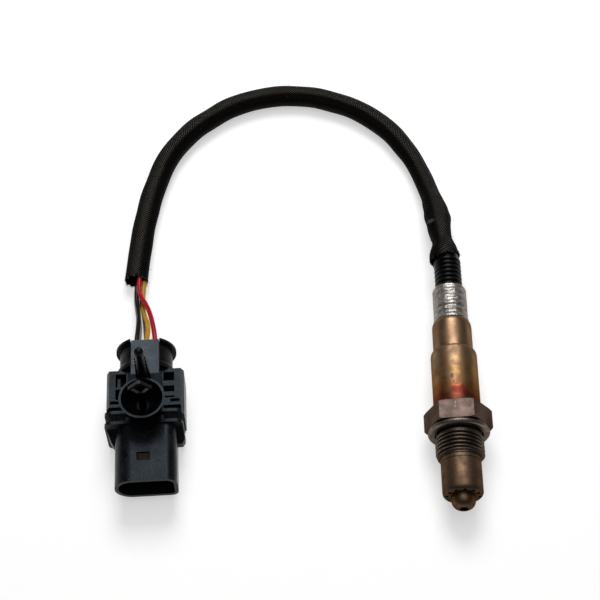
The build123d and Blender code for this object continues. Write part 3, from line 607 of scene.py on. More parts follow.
def satin_metal(name, colour_at, dark, roughness, blotch, speck, specks, pressed=None):
    """A satin metal: colour_at gives its colour, and dark is what blotches and specks leave.

    pressed, where given, gives the height of marks pressed into the metal, from 0 to 1.
    """
    material, tree, shader, place = new_finish(name)
    aged = worn(tree, blotch, speck, specks)
    y = split(tree, place)["Y"]
    fill(tree, shader["Base Color"], stained(tree, aged, colour_at(tree, place, y), dark,
                                             METAL_BLOTCHES, dark, METAL_SPECKS))
    shader["Metallic"].default_value = 1.0
    turning = maths(tree, "SINE", product(tree, y, 2 * math.pi / TURNING_PITCH))
    height = maths(tree, "ADD", aged["Grain"], product(tree, turning, TURNING_HEIGHT))
    normal = bumped(tree, height, METAL_GRAIN, strength=0.6)
    if pressed:
        normal = bumped(tree, pressed(tree, place), PRESSED_DEPTH, under=normal)
    fill(tree, shader["Normal"], normal)
    fill(tree, shader["Roughness"], uneven(tree, aged, roughness, smoother=0.06, rougher=0.10))
    fill(tree, shader["Specular Tint"], METAL_EDGE_TINT)
    return material


def one_colour(colour):
    """The same metal colour everywhere, before wear."""
    return lambda tree, place, y: colour


print("tools: satin metal")

# %% [markdown]
# ### Heat tint and marks
# The tint is a row of colours at set places on the axis, with soft changes between them that a
# noise pushes to and fro. A burn, fleck or scratch is an ellipsoid round a place on the piece:
# inside it the metal has another colour, and a finer noise frays its edge.

# %% heat tint and marks
TINT_NOISE_SIZE = 4.0 * MM
FRINGE_SIZE = 0.9 * MM
MARK_CORE, MARK_EDGE = 0.6, 1.2


def along_axis(*stops, wander=8 * MM):
    """A colour that changes along the sensor: stops of (y in mm, colour).

    wander is how far the colours stray along the axis.
    """
    def colour_at(tree, place, y):
        wobble = product(tree, centred_noise(tree, place, TINT_NOISE_SIZE), wander)
        level = maths(tree, "ADD", y, wobble)
        colour = stops[0][1]
        for (start, _), (end, next_colour) in zip(stops, stops[1:]):
            colour = mixed(tree, rise(tree, level, start * MM, end * MM), colour, next_colour)
        return colour
    return colour_at


def marked(tree, place, colour, marks, ragged):
    """A colour with ragged marks on it: each mark is (place in mm, size in mm, colour)."""
    fringe = product(tree, noise(tree, place, FRINGE_SIZE), ragged)
    for centre, size, tint in marks:
        offset = vectors(tree, "SUBTRACT", place, Vector(centre) * MM)
        away = vectors(tree, "LENGTH", vectors(tree, "DIVIDE", offset, Vector(size) * MM),
                       result="Value")
        share = rise(tree, maths(tree, "ADD", away, fringe), MARK_EDGE + ragged / 2,
                     MARK_CORE + ragged / 2)
        colour = mixed(tree, share, colour, tint)
    return colour


def with_marks(colour_at, marks, ragged):
    """A metal colour as it was, with marks on it."""
    return lambda tree, place, y: marked(tree, place, colour_at(tree, place, y), marks, ragged)


print("tools: heat tint and marks")

# %% [markdown]
# ### The two shells
# The lower shell stands next to the hot hexagon. It is dark there, red above and straw to tan
# further up, with a burnt patch, two red tongues and a few grey and dark flecks on its upper
# side. The upper shell is cooler and tan all over.

# %% finishes of the shells
shell_tint = along_axis((7.5, (0.060, 0.026, 0.019)), (10.5, (0.150, 0.040, 0.022)),
                        (14.0, (0.235, 0.090, 0.034)), (19.5, (0.295, 0.165, 0.072)),
                        (30.0, (0.300, 0.190, 0.112)))
SHELL_MARKS = [((0.1, 12.7, 8.8), (3.6, 1.5, 3.5), (0.150, 0.025, 0.018)),
               ((-1.2, 13.6, 8.8), (1.3, 0.95, 3.5), (0.225, 0.024, 0.021)),
               ((1.4, 13.5, 8.8), (1.0, 1.3, 3.5), (0.205, 0.024, 0.020)),
               ((-2.2, 18.5, 8.6), (0.75, 1.2, 2.0), (0.066, 0.070, 0.068)),
               ((-1.7, 16.0, 8.6), (0.35, 0.7, 2.0), (0.080, 0.045, 0.034)),
               ((-0.7, 15.2, 8.8), (0.8, 0.25, 2.0), (0.085, 0.045, 0.034))]
hot_shell = satin_metal(
    "heat-tinted shell", with_marks(shell_tint, SHELL_MARKS, ragged=1.0), (0.085, 0.050, 0.034),
    roughness=0.44, blotch=0.004, speck=0.0010, specks=0.15)
bronze_shell = satin_metal(
    "tan shell", one_colour((0.270, 0.168, 0.100)), (0.14, 0.085, 0.052),
    roughness=0.42, blotch=0.006, speck=0.0008, specks=0.08)
print("shells", hot_shell.name, bronze_shell.name)

# %% [markdown]
# ### The collar
# The collar was pressed on by a ring of jaws. They leave shallow flats side by side round it,
# with a thin ridge where two jaws meet, and rings between its rolled grooves. These marks are
# a fraction of a millimetre high, so a bump in the finish shows them as well as a mesh would.

# %% finish of the crimped collar
JAWS = 14
JAW_RIDGE, JAW_RIDGE_HEIGHT = (0.40, 0.5), 0.14
RING_PITCH = 2.9 * MM
RING_HEIGHT = 0.5
RING_WANDER = 2.2 * MM
RING_NOISE_SIZE = 2.2 * MM


def jaw_marks(tree, place):
    """The height of the flats and rings that the crimping jaws leave."""
    x, y, z = split(tree, place)
    turn = product(tree, maths(tree, "ARCTAN2", z, x), JAWS / (2 * math.pi))
    off_centre = maths(tree, "ABSOLUTE",
                       maths(tree, "SUBTRACT", maths(tree, "FRACT", turn), 0.5))
    ridge = rise(tree, off_centre, *JAW_RIDGE)
    strayed = maths(tree, "ADD", y, product(tree, centred_noise(tree, place, RING_NOISE_SIZE),
                                            RING_WANDER))
    ring = maths(tree, "SINE", product(tree, strayed, 2 * math.pi / RING_PITCH))
    return maths(tree, "ADD", product(tree, ridge, JAW_RIDGE_HEIGHT),
                 product(tree, ring, RING_HEIGHT))


crimp_silver = satin_metal(
    "dull silver", one_colour((0.44, 0.41, 0.385)), (0.15, 0.135, 0.11),
    roughness=0.38, blotch=0.0022, speck=0.0010, specks=0.40, pressed=jaw_marks)
print("collar", crimp_silver.name)

# %% [markdown]
# ### The hexagon, the washer and the tubes
# The forged hexagon is browned, with soot in its specks and two bright scratches from a
# spanner. The washer under it stayed paler. The outer tube has a dark ring where it is rolled
# over, and gets darker towards its end. The contacts inside are tinned and clean.

# %% finishes of the hexagon, the washer, the tubes and the contacts
SOOT = (0.030, 0.022, 0.018)
BRIGHT_SCRATCH = (0.36, 0.33, 0.30)
SCRATCHES = [((-1.95, 6.1, 11.8), (0.13, 1.1, 2.0), BRIGHT_SCRATCH),
             ((-2.15, 4.4, 11.8), (0.11, 0.6, 2.0), BRIGHT_SCRATCH)]
ROLLED_RING = (0.030, 0.021, 0.016)
tube_tint = along_axis((-26.5, (0.080, 0.050, 0.034)), (-24.0, (0.135, 0.084, 0.052)),
                       (-14.1, (0.150, 0.095, 0.060)), (-13.9, ROLLED_RING),
                       (-13.7, ROLLED_RING), (-13.5, (0.150, 0.105, 0.062)), wander=0.8 * MM)
hexagon_steel = satin_metal(
    "browned steel", with_marks(one_colour((0.112, 0.079, 0.067)), SCRATCHES, ragged=0.3), SOOT,
    roughness=0.46, blotch=0.006, speck=0.0007, specks=0.28)
gasket_steel = satin_metal(
    "gasket steel", one_colour((0.185, 0.158, 0.135)), (0.050, 0.040, 0.033),
    roughness=0.40, blotch=0.003, speck=0.0009, specks=0.50)
tube_steel = satin_metal(
    "speckled hot tube", tube_tint, (0.060, 0.038, 0.025),
    roughness=0.50, blotch=0.0035, speck=0.0008, specks=0.42)
tip_steel = satin_metal(
    "brown tip", one_colour((0.120, 0.072, 0.043)), (0.035, 0.023, 0.016),
    roughness=0.42, blotch=0.003, speck=0.0009, specks=0.45)
tin = satin_metal(
    "tinned contact", one_colour((0.62, 0.62, 0.60)), (0.3, 0.3, 0.29),
    roughness=0.28, blotch=0.003, speck=0.0006, specks=0.1)
print("metals", [m.name for m in bpy.data.materials])

# %% the metal pieces get their finishes


def dress(piece, material):
    """Give a piece its finish, and let it ride on the body."""
    piece.data.materials.clear()
    piece.data.materials.append(material)
    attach(piece, "root")


for node_name, material, slot_name in [
        ("lower_shell", hot_shell, "shell_hot"), ("upper_shell", bronze_shell, "shell_bronze"),
        ("crimp_collar", crimp_silver, "crimp_silver"), ("housing", hexagon_steel, "hex_steel"),
        ("sealing_washer", gasket_steel, "gasket_steel"),
        ("outer_protection_tube", tube_steel, "hot_steel"),
        ("inner_protection_tube", tip_steel, "tip_steel")]:
    dress(nodes[node_name], material)
    print(node_name, "in", material.name)
contacts = [name for name in nodes if name.startswith(("contact_barrel", "terminal_"))]
contacts.remove("terminal_lock")
for node_name in contacts:
    dress(nodes[node_name], tin)
print("contacts in", tin.name, contacts)

# %% [markdown]
# ## The threaded housing
# The frame's housing carries its thread as a plain cylinder at crest size. A copy keeps the
# hexagon and gets that cylinder turned down to the root of the thread.

# %% housing turned down to the thread's root
THREAD_RADIUS = 9.0 * MM
ROOT_RADIUS = 8.02 * MM
TURNED_OUTSIDE = THREAD_RADIUS - 0.1 * MM
MERGE_WITHIN = 0.001 * MM


def merged_copy(node_name, name):
    """A copy of a frame piece with its doubled vertices merged."""
    mesh = nodes[node_name].data.copy()
    shell = bmesh.new()
    shell.from_mesh(mesh)
    bmesh.ops.remove_doubles(shell, verts=shell.verts, dist=MERGE_WITHIN)
    shell.to_mesh(mesh)
    shell.free()
    return into_scene(name, mesh)


threaded_housing = merged_copy("housing", "threaded_housing")
turned_down = 0
for vertex in threaded_housing.data.vertices:
    radius = math.hypot(vertex.co.x, vertex.co.z)
    if vertex.co.y < 0 and radius > TURNED_OUTSIDE:
        vertex.co.x *= ROOT_RADIUS / radius
        vertex.co.z *= ROOT_RADIUS / radius
        turned_down += 1
threaded_housing.data.update()
print("turned down", turned_down, "of", len(threaded_housing.data.vertices), "vertices")

# %% [markdown]
# ### Pieces made by geometry nodes
# A thread and a frayed edge follow a rule, so each is a small tree with named inputs: one
# change of a number gives another thread. A screw modifier could wind the thread too, but it
# can't fade its ends. The tree works once, and its result is kept as a plain mesh.

# %% helpers for geometry trees
GEOMETRY, FINISH = "NodeSocketGeometry", "NodeSocketMaterial"


def new_geometry(name, inputs):
    """An empty geometry tree: the tree, its inputs by name and its output socket."""
    tree = bpy.data.node_groups.new(name, "GeometryNodeTree")
    tree.interface.new_socket("Geometry", in_out="INPUT", socket_type=GEOMETRY)
    tree.interface.new_socket("Geometry", in_out="OUTPUT", socket_type=GEOMETRY)
    for label, kind in inputs.items():
        tree.interface.new_socket(label, in_out="INPUT", socket_type=kind)
    start, end = tree.nodes.new("NodeGroupInput"), tree.nodes.new("NodeGroupOutput")
    return tree, start.outputs, end.inputs["Geometry"]


def end_geometry(tree, result, geometry, finish):
    """End a tree: copies are made real, and the result gets its finish."""
    real = add_node(tree, "GeometryNodeRealizeInstances", {"Geometry": geometry})
    dressed = add_node(tree, "GeometryNodeSetMaterial", {
        "Geometry": real.outputs["Geometry"], "Material": finish})
    fill(tree, result, dressed.outputs["Geometry"])


def grown(name, tree, values, seed_mesh=None):
    """A plain piece made by a geometry tree from its named values."""
    source = into_scene(name, seed_mesh or bpy.data.meshes.new(name))
    modifier = source.modifiers.new(tree.name, "NODES")
    modifier.node_group = tree
    for item in tree.interface.items_tree:
        if item.name in values:
            modifier[item.identifier] = values[item.name]
    bpy.context.view_layer.update()
    result = source.evaluated_get(bpy.context.evaluated_depsgraph_get())
    plain = bpy.data.meshes.new_from_object(result)
    plain.name = name
    source.modifiers.remove(modifier)
    source.data = plain
    return source


print("tools: geometry trees")

# %% [markdown]
# ### The thread's ridge
# A rolled thread is one ridge that winds round the shank and fades out at both ends. The tree
# draws a spiral at root size, lays the ridge's section along it and shrinks the section over
# the first and last bit of the way. The section's foot is sunk into the shank, so no gap shows.

# %% the thread's ridge, by geometry nodes
STEPS_PER_TURN = 96
RUNOUT = 0.07
THINNEST = 0.02
# half widths as shares of the pitch, and the foot's depth as a share of the thread's
HALF_ROOT, HALF_CREST, SUNK = 0.44, 0.09, 0.25
thread_tree, given, result = new_geometry("helical thread", {
    "Root radius": FLOAT, "Depth": FLOAT, "Pitch": FLOAT, "Turns": FLOAT, "Start": FLOAT,
    "Finish": FINISH})
helix = add_node(thread_tree, "GeometryNodeCurveSpiral", {
    "Resolution": STEPS_PER_TURN, "Rotations": given["Turns"],
    "Start Radius": given["Root radius"], "End Radius": given["Root radius"],
    "Height": product(thread_tree, given["Pitch"], given["Turns"])})
upright = add_node(thread_tree, "GeometryNodeSetCurveNormal", {"Curve": helix.outputs["Curve"]})
upright.mode = "Z_UP"
way = add_node(thread_tree, "GeometryNodeSplineParameter").outputs["Factor"]
fade = band(thread_tree, way, 0.0, RUNOUT, 1.0 - RUNOUT, 1.0)
faded = add_node(thread_tree, "GeometryNodeSetCurveRadius", {
    "Curve": upright.outputs["Curve"],
    "Radius": maths(thread_tree, "MAXIMUM", fade, THINNEST)})
# the section's X runs towards the axis, and its Y along it
foot = product(thread_tree, given["Depth"], SUNK)
crest = product(thread_tree, given["Depth"], -1.0)
corners = [joined(thread_tree, X=radial, Y=product(thread_tree, given["Pitch"], axial))
           for radial, axial in [(foot, HALF_ROOT), (crest, HALF_CREST),
                                 (crest, -HALF_CREST), (foot, -HALF_ROOT)]]
section = add_node(thread_tree, "GeometryNodeCurvePrimitiveQuadrilateral", {
    f"Point {i}": corner for i, corner in enumerate(corners, 1)}, mode="POINTS")
ridge = add_node(thread_tree, "GeometryNodeCurveToMesh", {
    "Curve": faded.outputs["Curve"], "Profile Curve": section.outputs["Curve"],
    "Fill Caps": True})
turned = add_node(thread_tree, "GeometryNodeTransform", {
    "Geometry": ridge.outputs["Mesh"], "Rotation": (math.radians(90), 0, 0),
    "Translation": joined(thread_tree, Y=given["Start"])})
end_geometry(thread_tree, result, turned.outputs["Geometry"], given["Finish"])
print("tree", thread_tree.name, "with", len(thread_tree.nodes), "nodes")

# %% the thread on its housing
THREAD_PITCH = 1.5 * MM
THREAD_START_Y = -3.05 * MM
THREAD_TURNS = 5.3
thread_finish = satin_metal(
    "pasted thread", one_colour((0.135, 0.108, 0.086)), (0.022, 0.019, 0.016),
    roughness=0.38, blotch=0.002, speck=0.0008, specks=0.5)
thread = grown("thread_ridge", thread_tree, {
    "Root radius": ROOT_RADIUS, "Depth": THREAD_RADIUS - ROOT_RADIUS, "Pitch": THREAD_PITCH,
    "Turns": THREAD_TURNS, "Start": THREAD_START_Y, "Finish": thread_finish})
for piece, finish in [(threaded_housing, hexagon_steel), (thread, thread_finish)]:
    dress(piece, finish)
    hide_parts("housing")
radii = [math.hypot(v.co.x, v.co.z) / MM for v in thread.data.vertices]
print("thread radii", min(radii), max(radii), "faces", len(thread.data.polygons))

# %% [markdown]
# ## Mouldings and rubber
# The plug is a glass-filled moulding: black with a faint blue, finely grained, with dust in soft
# blotches and pale specks. The clip is smoother nylon, and the boot, seals and grommet are
# rubber. One black plastic for all would merge them, so one function makes each from its own
# colour, dust, grain and gloss. Where hands have rubbed a piece, above a set height, it shines
# more. An exporter keeps only the plain number that such a gloss is multiplied by, so the
# usual gloss is that number.

# %% mouldings
# painted reflection: a blue tint on the mouldings' sheen stands for blue sky light, and gives
# most of the faint blue on their tops
PAINTED_SKY_TINT = (0.68, 0.84, 1.0)
NEUTRAL = (1, 1, 1)
RUBBED_EDGE = 0.5 * MM
DUST_BLOTCHES, DUST_SPECKS = 0.55, 0.45
SPECK_PALENESS = 2.6


def moulding(name, colour, dust, roughness, grain, specks=0.35, handled=None,
             dull=0.14, shiny=0.27, tint=PAINTED_SKY_TINT):
    """A fine-grained moulding, with dust where blotches lie and pale specks.

    handled, where given, is the height in metres above which hands have rubbed it shinier.
    """
    material, tree, shader, place = new_finish(name)
    aged = worn(tree, blotch=0.005, speck=0.0009, specks=specks)
    pale_dust = tuple(SPECK_PALENESS * c for c in dust)
    fill(tree, shader["Base Color"], stained(tree, aged, colour, dust, DUST_BLOTCHES,
                                             pale_dust, DUST_SPECKS))
    fill(tree, shader["Roughness"], uneven(tree, aged, roughness, smoother=0.05, rougher=0.10))
    # the sheen's tint: a painted blue reflection colour, unless NEUTRAL is given
    fill(tree, shader["Specular Tint"], tint)
    gloss = dull
    if handled:
        rubbed = rise(tree, split(tree, place)["Z"], handled - RUBBED_EDGE,
                      handled + RUBBED_EDGE)
        gloss = product(tree, between(tree, rubbed, 1.0, shiny / dull), dull)
    fill(tree, shader["Specular IOR Level"], gloss)
    fill(tree, shader["Normal"], bumped(tree, aged["Grain"], grain, strength=0.8))
    return material


print("tools: mouldings")

# %% finishes of the plug, the clip and the rubber
ARM_HEIGHT = PLUG_MOUTH.z + 8.2 * MM
CUP_RIM_HEIGHT = PLUG_MOUTH.z + 16.6 * MM
plug_plastic = moulding("plug moulding", (0.0022, 0.0023, 0.0027), (0.0085, 0.0088, 0.0095),
                        roughness=0.29, grain=0.06 * MM, specks=0.60, handled=ARM_HEIGHT)
cap_plastic = moulding("cap moulding", (0.0026, 0.0023, 0.0019), (0.0085, 0.0080, 0.0070),
                       roughness=0.33, grain=0.06 * MM, specks=0.60, dull=0.055, tint=NEUTRAL)
clip_plastic = moulding("clip nylon", (0.0010, 0.0010, 0.0011), (0.0040, 0.0040, 0.0042),
                        roughness=0.29, grain=0.04 * MM, specks=0.30, handled=CUP_RIM_HEIGHT,
                        dull=0.045, shiny=0.17)
lock_plastic = moulding("lock moulding", (0.006, 0.006, 0.007), (0.012, 0.012, 0.012),
                        roughness=0.5, grain=0.03 * MM)
black_rubber = moulding("black rubber", (0.0012, 0.0012, 0.0012), (0.0038, 0.0035, 0.0033),
                        roughness=0.30, grain=0.02 * MM, specks=0.2, dull=0.155, tint=NEUTRAL)
seal_rubber = moulding("seal rubber", (0.02, 0.02, 0.022), (0.03, 0.03, 0.03),
                       roughness=0.5, grain=0.02 * MM, specks=0.2)
print("mouldings", plug_plastic.name, cap_plastic.name, clip_plastic.name, black_rubber.name)

# %% [markdown]
# ### The brown chip
# A small brown chip sits in a window of the plug's shroud. The window's walls shade its edges,
# and that shade is painted on: the finish measures how far each spot is from the chip's middle
# along its two directions, in half sizes, and paints dark shade on what is near the rim.

# %% finish of the brown chip
CHIP_CENTRE = plug_point(-0.56, 9.7, 0)
CHIP_HALF_WIDTH = 2.43 * MM
CHIP_HALF_LENGTH = 1.65 * MM
RIM_START, RIM_FULL = 0.66, 0.90
CHIP_BROWN, CHIP_PALE = (0.017, 0.0085, 0.006), (0.024, 0.014, 0.010)
# painted shade along the chip's edges, where the window's walls shade it
PAINTED_WINDOW_SHADE = (0.0012, 0.0010, 0.0010)
chip, tree, shader, place = new_finish("trimmed chip")
aged = worn(tree, blotch=0.002, speck=0.0006, specks=0.4)
from_middle = vectors(tree, "SUBTRACT", place, CHIP_CENTRE)
nearness = [
    maths(tree, "DIVIDE", maths(tree, "ABSOLUTE", vectors(
        tree, "DOT_PRODUCT", from_middle, way, result="Value")), half)
    for way, half in ((ACROSS, CHIP_HALF_WIDTH), (REARWARD, CHIP_HALF_LENGTH))]
# where the painted shade lies: near the chip's rim
rim = rise(tree, maths(tree, "MAXIMUM", *nearness), RIM_START, RIM_FULL)
body = mixed(tree, aged["Blotches"], CHIP_BROWN, CHIP_PALE)
fill(tree, shader["Base Color"], mixed(tree, rim, body, PAINTED_WINDOW_SHADE))
shader["Roughness"].default_value = 0.5
shader["Specular IOR Level"].default_value = 0.04
fill(tree, shader["Normal"], bumped(tree, aged["Grain"], 0.03 * MM, strength=0.8))
print("chip", chip.name, "about", CHIP_CENTRE[:])

# %% the plug and the rubber pieces get their finishes
for node_name, material, slot_name in [
        ("plug_housing", plug_plastic, "plug_plastic"), ("rear_cap", cap_plastic, "plug_plastic"),
        ("mounting_clip", clip_plastic, "clip_plastic"),
        ("terminal_lock", lock_plastic, "lock_plastic"),
        ("corrugated_boot", black_rubber, "dark_rubber"),
        ("lead_grommet", black_rubber, "dark_rubber"), ("wire_seal", seal_rubber, "seal_rubber"),
        ("cavity_plug", seal_rubber, "seal_rubber"), ("trim_resistor", chip, "resistor")]:
    dress(nodes[node_name], material)
    print(node_name, "in", material.name)

# %% [markdown]
# ### Ceramics inside
# The element and its ceramics are fired, off-white and dry, and grey where they have been hot.
# They are hidden in the shells, but a part that is taken apart shows them, so they get a
# finish of their own.

# %% ceramics


def fired(name, colour, stain, size):
    """A matt fired ceramic with soft stains and fine pores."""
    material, tree, shader, place = new_finish(name)
    aged = worn(tree, blotch=size, speck=0.0004, specks=0.3)
    fill(tree, shader["Base Color"], stained(tree, aged, colour, stain, 1.0, stain, 0.3))
    shader["Roughness"].default_value = 0.65
    fill(tree, shader["Normal"], bumped(tree, aged["Grain"], 0.03 * MM, strength=0.7))
    return material


zirconia = fired("zirconia", (0.62, 0.60, 0.55), (0.40, 0.38, 0.35), size=0.004)
talc = fired("pressed talc", (0.42, 0.43, 0.38), (0.30, 0.30, 0.27), size=0.003)
insulator = fired("insulator", (0.66, 0.62, 0.56), (0.45, 0.40, 0.34), size=0.005)
dress(nodes["sensor_element"], zirconia)
dress(nodes["talc_ring"], talc)
for node_name in ("lower_ceramic", "upper_ceramic", "contact_holder"):
    dress(nodes[node_name], insulator)
print("ceramics", zirconia.name, talc.name, insulator.name)

# %% [markdown]
# ## The braid
# Two families of yarn wind round the sleeve in opposite directions and pass over and under
# each other in turn. Modelled yarns would need millions of faces, so a height on the sleeve's
# map stands for them. On that map the two families are the sums and differences of its two
# numbers. Where a yarn is on top its height is a round ridge, and it sinks at the crossings.

# %% group: braid, the yarns
YARNS = 26.0
DEEPEST_CREST = 0.35
braid, braid_in, braid_out = new_group("braid", {"Yarns round": YARNS},
                                       ["Height", "Tone", "Fold shade"])
weave_map = add_node(braid, "ShaderNodeUVMap", uv_map="weave").outputs["UV"]
turn, travelled, _ = split(braid, weave_map)
yarns_round = product(braid, turn, braid_in["Yarns round"])
yarns_along = product(braid, travelled, braid_in["Yarns round"])
left_hand = maths(braid, "ADD", yarns_round, yarns_along)
right_hand = maths(braid, "SUBTRACT", yarns_round, yarns_along)
left_number, right_number = maths(braid, "FLOOR", left_hand), maths(braid, "FLOOR", right_hand)


def yarn_profile(across):
    """The round ridge across one yarn, from 0 at its edges to 1 on its crest."""
    offset = maths(braid, "SUBTRACT", maths(braid, "FRACT", across), 0.5)
    edge = maths(braid, "MULTIPLY", maths(braid, "ABSOLUTE", offset), 2.0)
    return maths(braid, "SQRT", maths(braid, "SUBTRACT", 1.0, product(braid, edge, edge)))


left_ridge, right_ridge = yarn_profile(left_hand), yarn_profile(right_hand)
cell = maths(braid, "ADD", left_number, right_number)
left_on_top = maths(braid, "LESS_THAN", maths(braid, "FLOORED_MODULO", cell, 2.0), 0.5)
top_ridge = between(braid, left_on_top, right_ridge, left_ridge)
along_ridge = between(braid, left_on_top, left_ridge, right_ridge)
height = product(braid, top_ridge, between(braid, along_ridge, DEEPEST_CREST, 1.0))
yarn_number = between(braid, left_on_top, right_number, left_number)
tone = add_node(braid, "ShaderNodeTexWhiteNoise", {"W": yarn_number}, noise_dimensions="1D")
fill(braid, braid_out["Height"], height)
fill(braid, braid_out["Tone"], tone.outputs["Value"])
print("group", braid.name, "with", YARNS, "yarns of each hand")

# %% [markdown]
# Long folds run down both flanks of the sleeve. There the yarns close up and turn away, so
# less of their crests shows and the folds lie in shade. The group puts out a mask of painted
# shade for that: the inner fold runs the whole way, and the outer one only near the two ends.
# Both wander a little from side to side.

# %% group: braid, the folds' painted shade
# share of a turn where the fold's painted shade starts, is full, starts to fade and is gone
INNER_FOLD_SHADE = (0.275, 0.345, 0.42, 0.64)
OUTER_FOLD_SHADE = (0.05, 0.10, 0.155, 0.195)
OUTER_FOLD_SHADE_DEPTH = 0.85
WANDER_RATE, WANDER_REACH = 2.3, 0.010
# in turns along the sleeve: where the outer fold fades after one end and starts before the other
NEAR_END, FAR_END = (1.6, 0.8), (5.0, 6.5)
wander = maths(braid, "SINE", maths(braid, "MULTIPLY", travelled, WANDER_RATE))
wandered = maths(braid, "ADD", turn, product(braid, wander, WANDER_REACH))
near_ends = maths(braid, "ADD", rise(braid, travelled, *FAR_END),
                  rise(braid, travelled, *NEAR_END))
# painted shade of the outer fold, which lies only near the two ends
outer_fold_shade = product(braid, band(braid, wandered, *OUTER_FOLD_SHADE), near_ends, OUTER_FOLD_SHADE_DEPTH)
# the mask of painted shade that both folds lay on the sleeve
fill(braid, braid_out["Fold shade"],
     maths(braid, "ADD", band(braid, wandered, *INNER_FOLD_SHADE), outer_fold_shade))
print("group", braid.name, "gives", [socket.name for socket in braid_out if socket.name])

# %% [markdown]
# ### The sleeve's finish
# The yarns are black and slightly waxy. Only their crests catch light: the gloss fades in the
# gaps, in the folds and where the surface turns away. Their colour holds painted shade too: the
# gaps and the yarns' flanks are painted darker than the crests, and the folds darker still. A
# pale spot marks the pinch near the boot. As with the mouldings, the gloss ends in its mean
# value times a factor.

# %% the sleeve's finish
PINCH_MARKS = [((-5.7, 94.3, 1.5), (1.8, 1.0, 3.0), (0.062, 0.056, 0.050))]
YARN_IOR = 1.38
YARN_SHEEN = (1.0, 0.91, 0.78)
YARN_HEIGHT = 0.25 * MM
CREST_EDGE = (0.60, 1.0)
# how much painted shade the folds lay on the yarn crests
FOLD_SHADE_STRENGTH = 0.85
TURNED_AWAY = 0.9
MEAN_GLOSS = 0.2
YARN_DARK, YARN_PALE = (0.0065, 0.0055, 0.0045), (0.025, 0.021, 0.0165)
# the last colour is painted shade for the gaps between the yarns and their flanks
YARN_DUST, LINT, PAINTED_GAP_SHADE = (0.022, 0.020, 0.018), (0.06, 0.055, 0.05), (0.0022, 0.0020, 0.0018)
sleeve_finish, tree, shader, place = new_finish("black braid")
woven = use_group(tree, braid)
aged = worn(tree, blotch=0.012, speck=0.0005, specks=0.2)
# the crest mask: low in the gaps and on the yarns' flanks, and lowered more by the folds' painted
# shade; it also sets the gloss
crest = product(tree, rise(tree, woven["Height"], *CREST_EDGE),
                maths(tree, "SUBTRACT", 1.0, product(tree, woven["Fold shade"], FOLD_SHADE_STRENGTH)))
yarn = mixed(tree, woven["Tone"], YARN_DARK, YARN_PALE)
# painted shade: gaps, flanks and folds take the dark colour, crests the yarn's own
cloth = mixed(tree, crest, PAINTED_GAP_SHADE, stained(tree, aged, yarn, YARN_DUST, 0.25, LINT, 0.15))
fill(tree, shader["Base Color"], marked(tree, place, cloth, PINCH_MARKS, ragged=0.9))
shader["Roughness"].default_value = 0.46
shader["IOR"].default_value = YARN_IOR
fill(tree, shader["Specular Tint"], YARN_SHEEN)
facing = add_node(tree, "ShaderNodeLayerWeight", {"Blend": 0.5}).outputs["Facing"]
gloss = product(tree, crest, maths(tree, "SUBTRACT", TURNED_AWAY, facing, clamp=True))
fill(tree, shader["Specular IOR Level"],
     product(tree, maths(tree, "DIVIDE", gloss, MEAN_GLOSS), MEAN_GLOSS))
fill(tree, shader["Normal"], bumped(tree, woven["Height"], YARN_HEIGHT))
sleeve.data.materials.append(sleeve_finish)
print("sleeve finish", sleeve_finish.name)

# %% [markdown]
# ## The wires' insulation
# Each wire has a coloured jacket with a soft shine, a little grime and faint scuffs. The five
# differ only in colour, so one loop makes them all.

# %% the wires' insulation
INSULATION = {"red": (0.42, 0.002, 0.010), "yellow": (0.52, 0.27, 0.003),
              "black": (0.003, 0.0026, 0.0025), "white": (0.42, 0.39, 0.35),
              "grey": (0.16, 0.15, 0.145)}
GRIME_SHARE, GRIME_PALENESS = 0.35, 0.004
for colour, tint in INSULATION.items():
    jacket, tree, shader, place = new_finish(f"{colour} insulation")
    aged = worn(tree, blotch=0.004, speck=0.0006, specks=0.15)
    grime = tuple(GRIME_SHARE * c + GRIME_PALENESS for c in tint)
    fill(tree, shader["Base Color"], stained(tree, aged, tint, grime, 0.3, grime, 0.5))
    shader["Roughness"].default_value = 0.34
    shader["Specular IOR Level"].default_value = 0.22
    fill(tree, shader["Normal"], bumped(tree, aged["Grain"], 0.02 * MM, strength=0.6))
    wires[colour][0].data.materials.append(jacket)
print("wires", list(INSULATION))

# %% [markdown]
# ## Frayed yarns
# A sleeve that is cut with scissors frays. Short bent yarns stand out of both cut ends, each at
# its own slant, and a few broken ones stick up along the sleeve. A hair system could scatter
# them, but it doesn't leave the scene as a mesh. This tree sets one small arc on each chosen
# point, turns and sizes it by chance from a fixed seed, and gives it thickness.

# %% yarns on the cut ends, by geometry nodes
VECTOR, WHOLE = "FLOAT_VECTOR", "NodeSocketInt"
LEAN = 0.75
SHORTEST = 0.35
fray_tree, given, result = new_geometry("frayed yarns", {
    "Share": FLOAT, "Length": FLOAT, "Yarn radius": FLOAT, "Seed": WHOLE, "Finish": FINISH})
kept = add_node(fray_tree, "FunctionNodeRandomValue", {
    "Probability": given["Share"], "Seed": given["Seed"]}, data_type="BOOLEAN")
points = add_node(fray_tree, "GeometryNodeMeshToPoints", {
    "Mesh": given["Geometry"], "Selection": kept.outputs[3]})
outward = add_node(fray_tree, "GeometryNodeInputNamedAttribute", {"Name": "outward"},
                   data_type=VECTOR).outputs["Attribute"]
chance = add_node(fray_tree, "FunctionNodeRandomValue", {
    0: (-LEAN, -LEAN, -LEAN), 1: (LEAN, LEAN, LEAN), "Seed": given["Seed"]}, data_type=VECTOR)
turned = add_node(fray_tree, "FunctionNodeAlignRotationToVector", {
    "Vector": vectors(fray_tree, "ADD", outward, chance.outputs[0])}, axis="Z")
size = add_node(fray_tree, "FunctionNodeRandomValue", {
    2: SHORTEST, 3: 1.0, "Seed": given["Seed"]}, data_type="FLOAT")
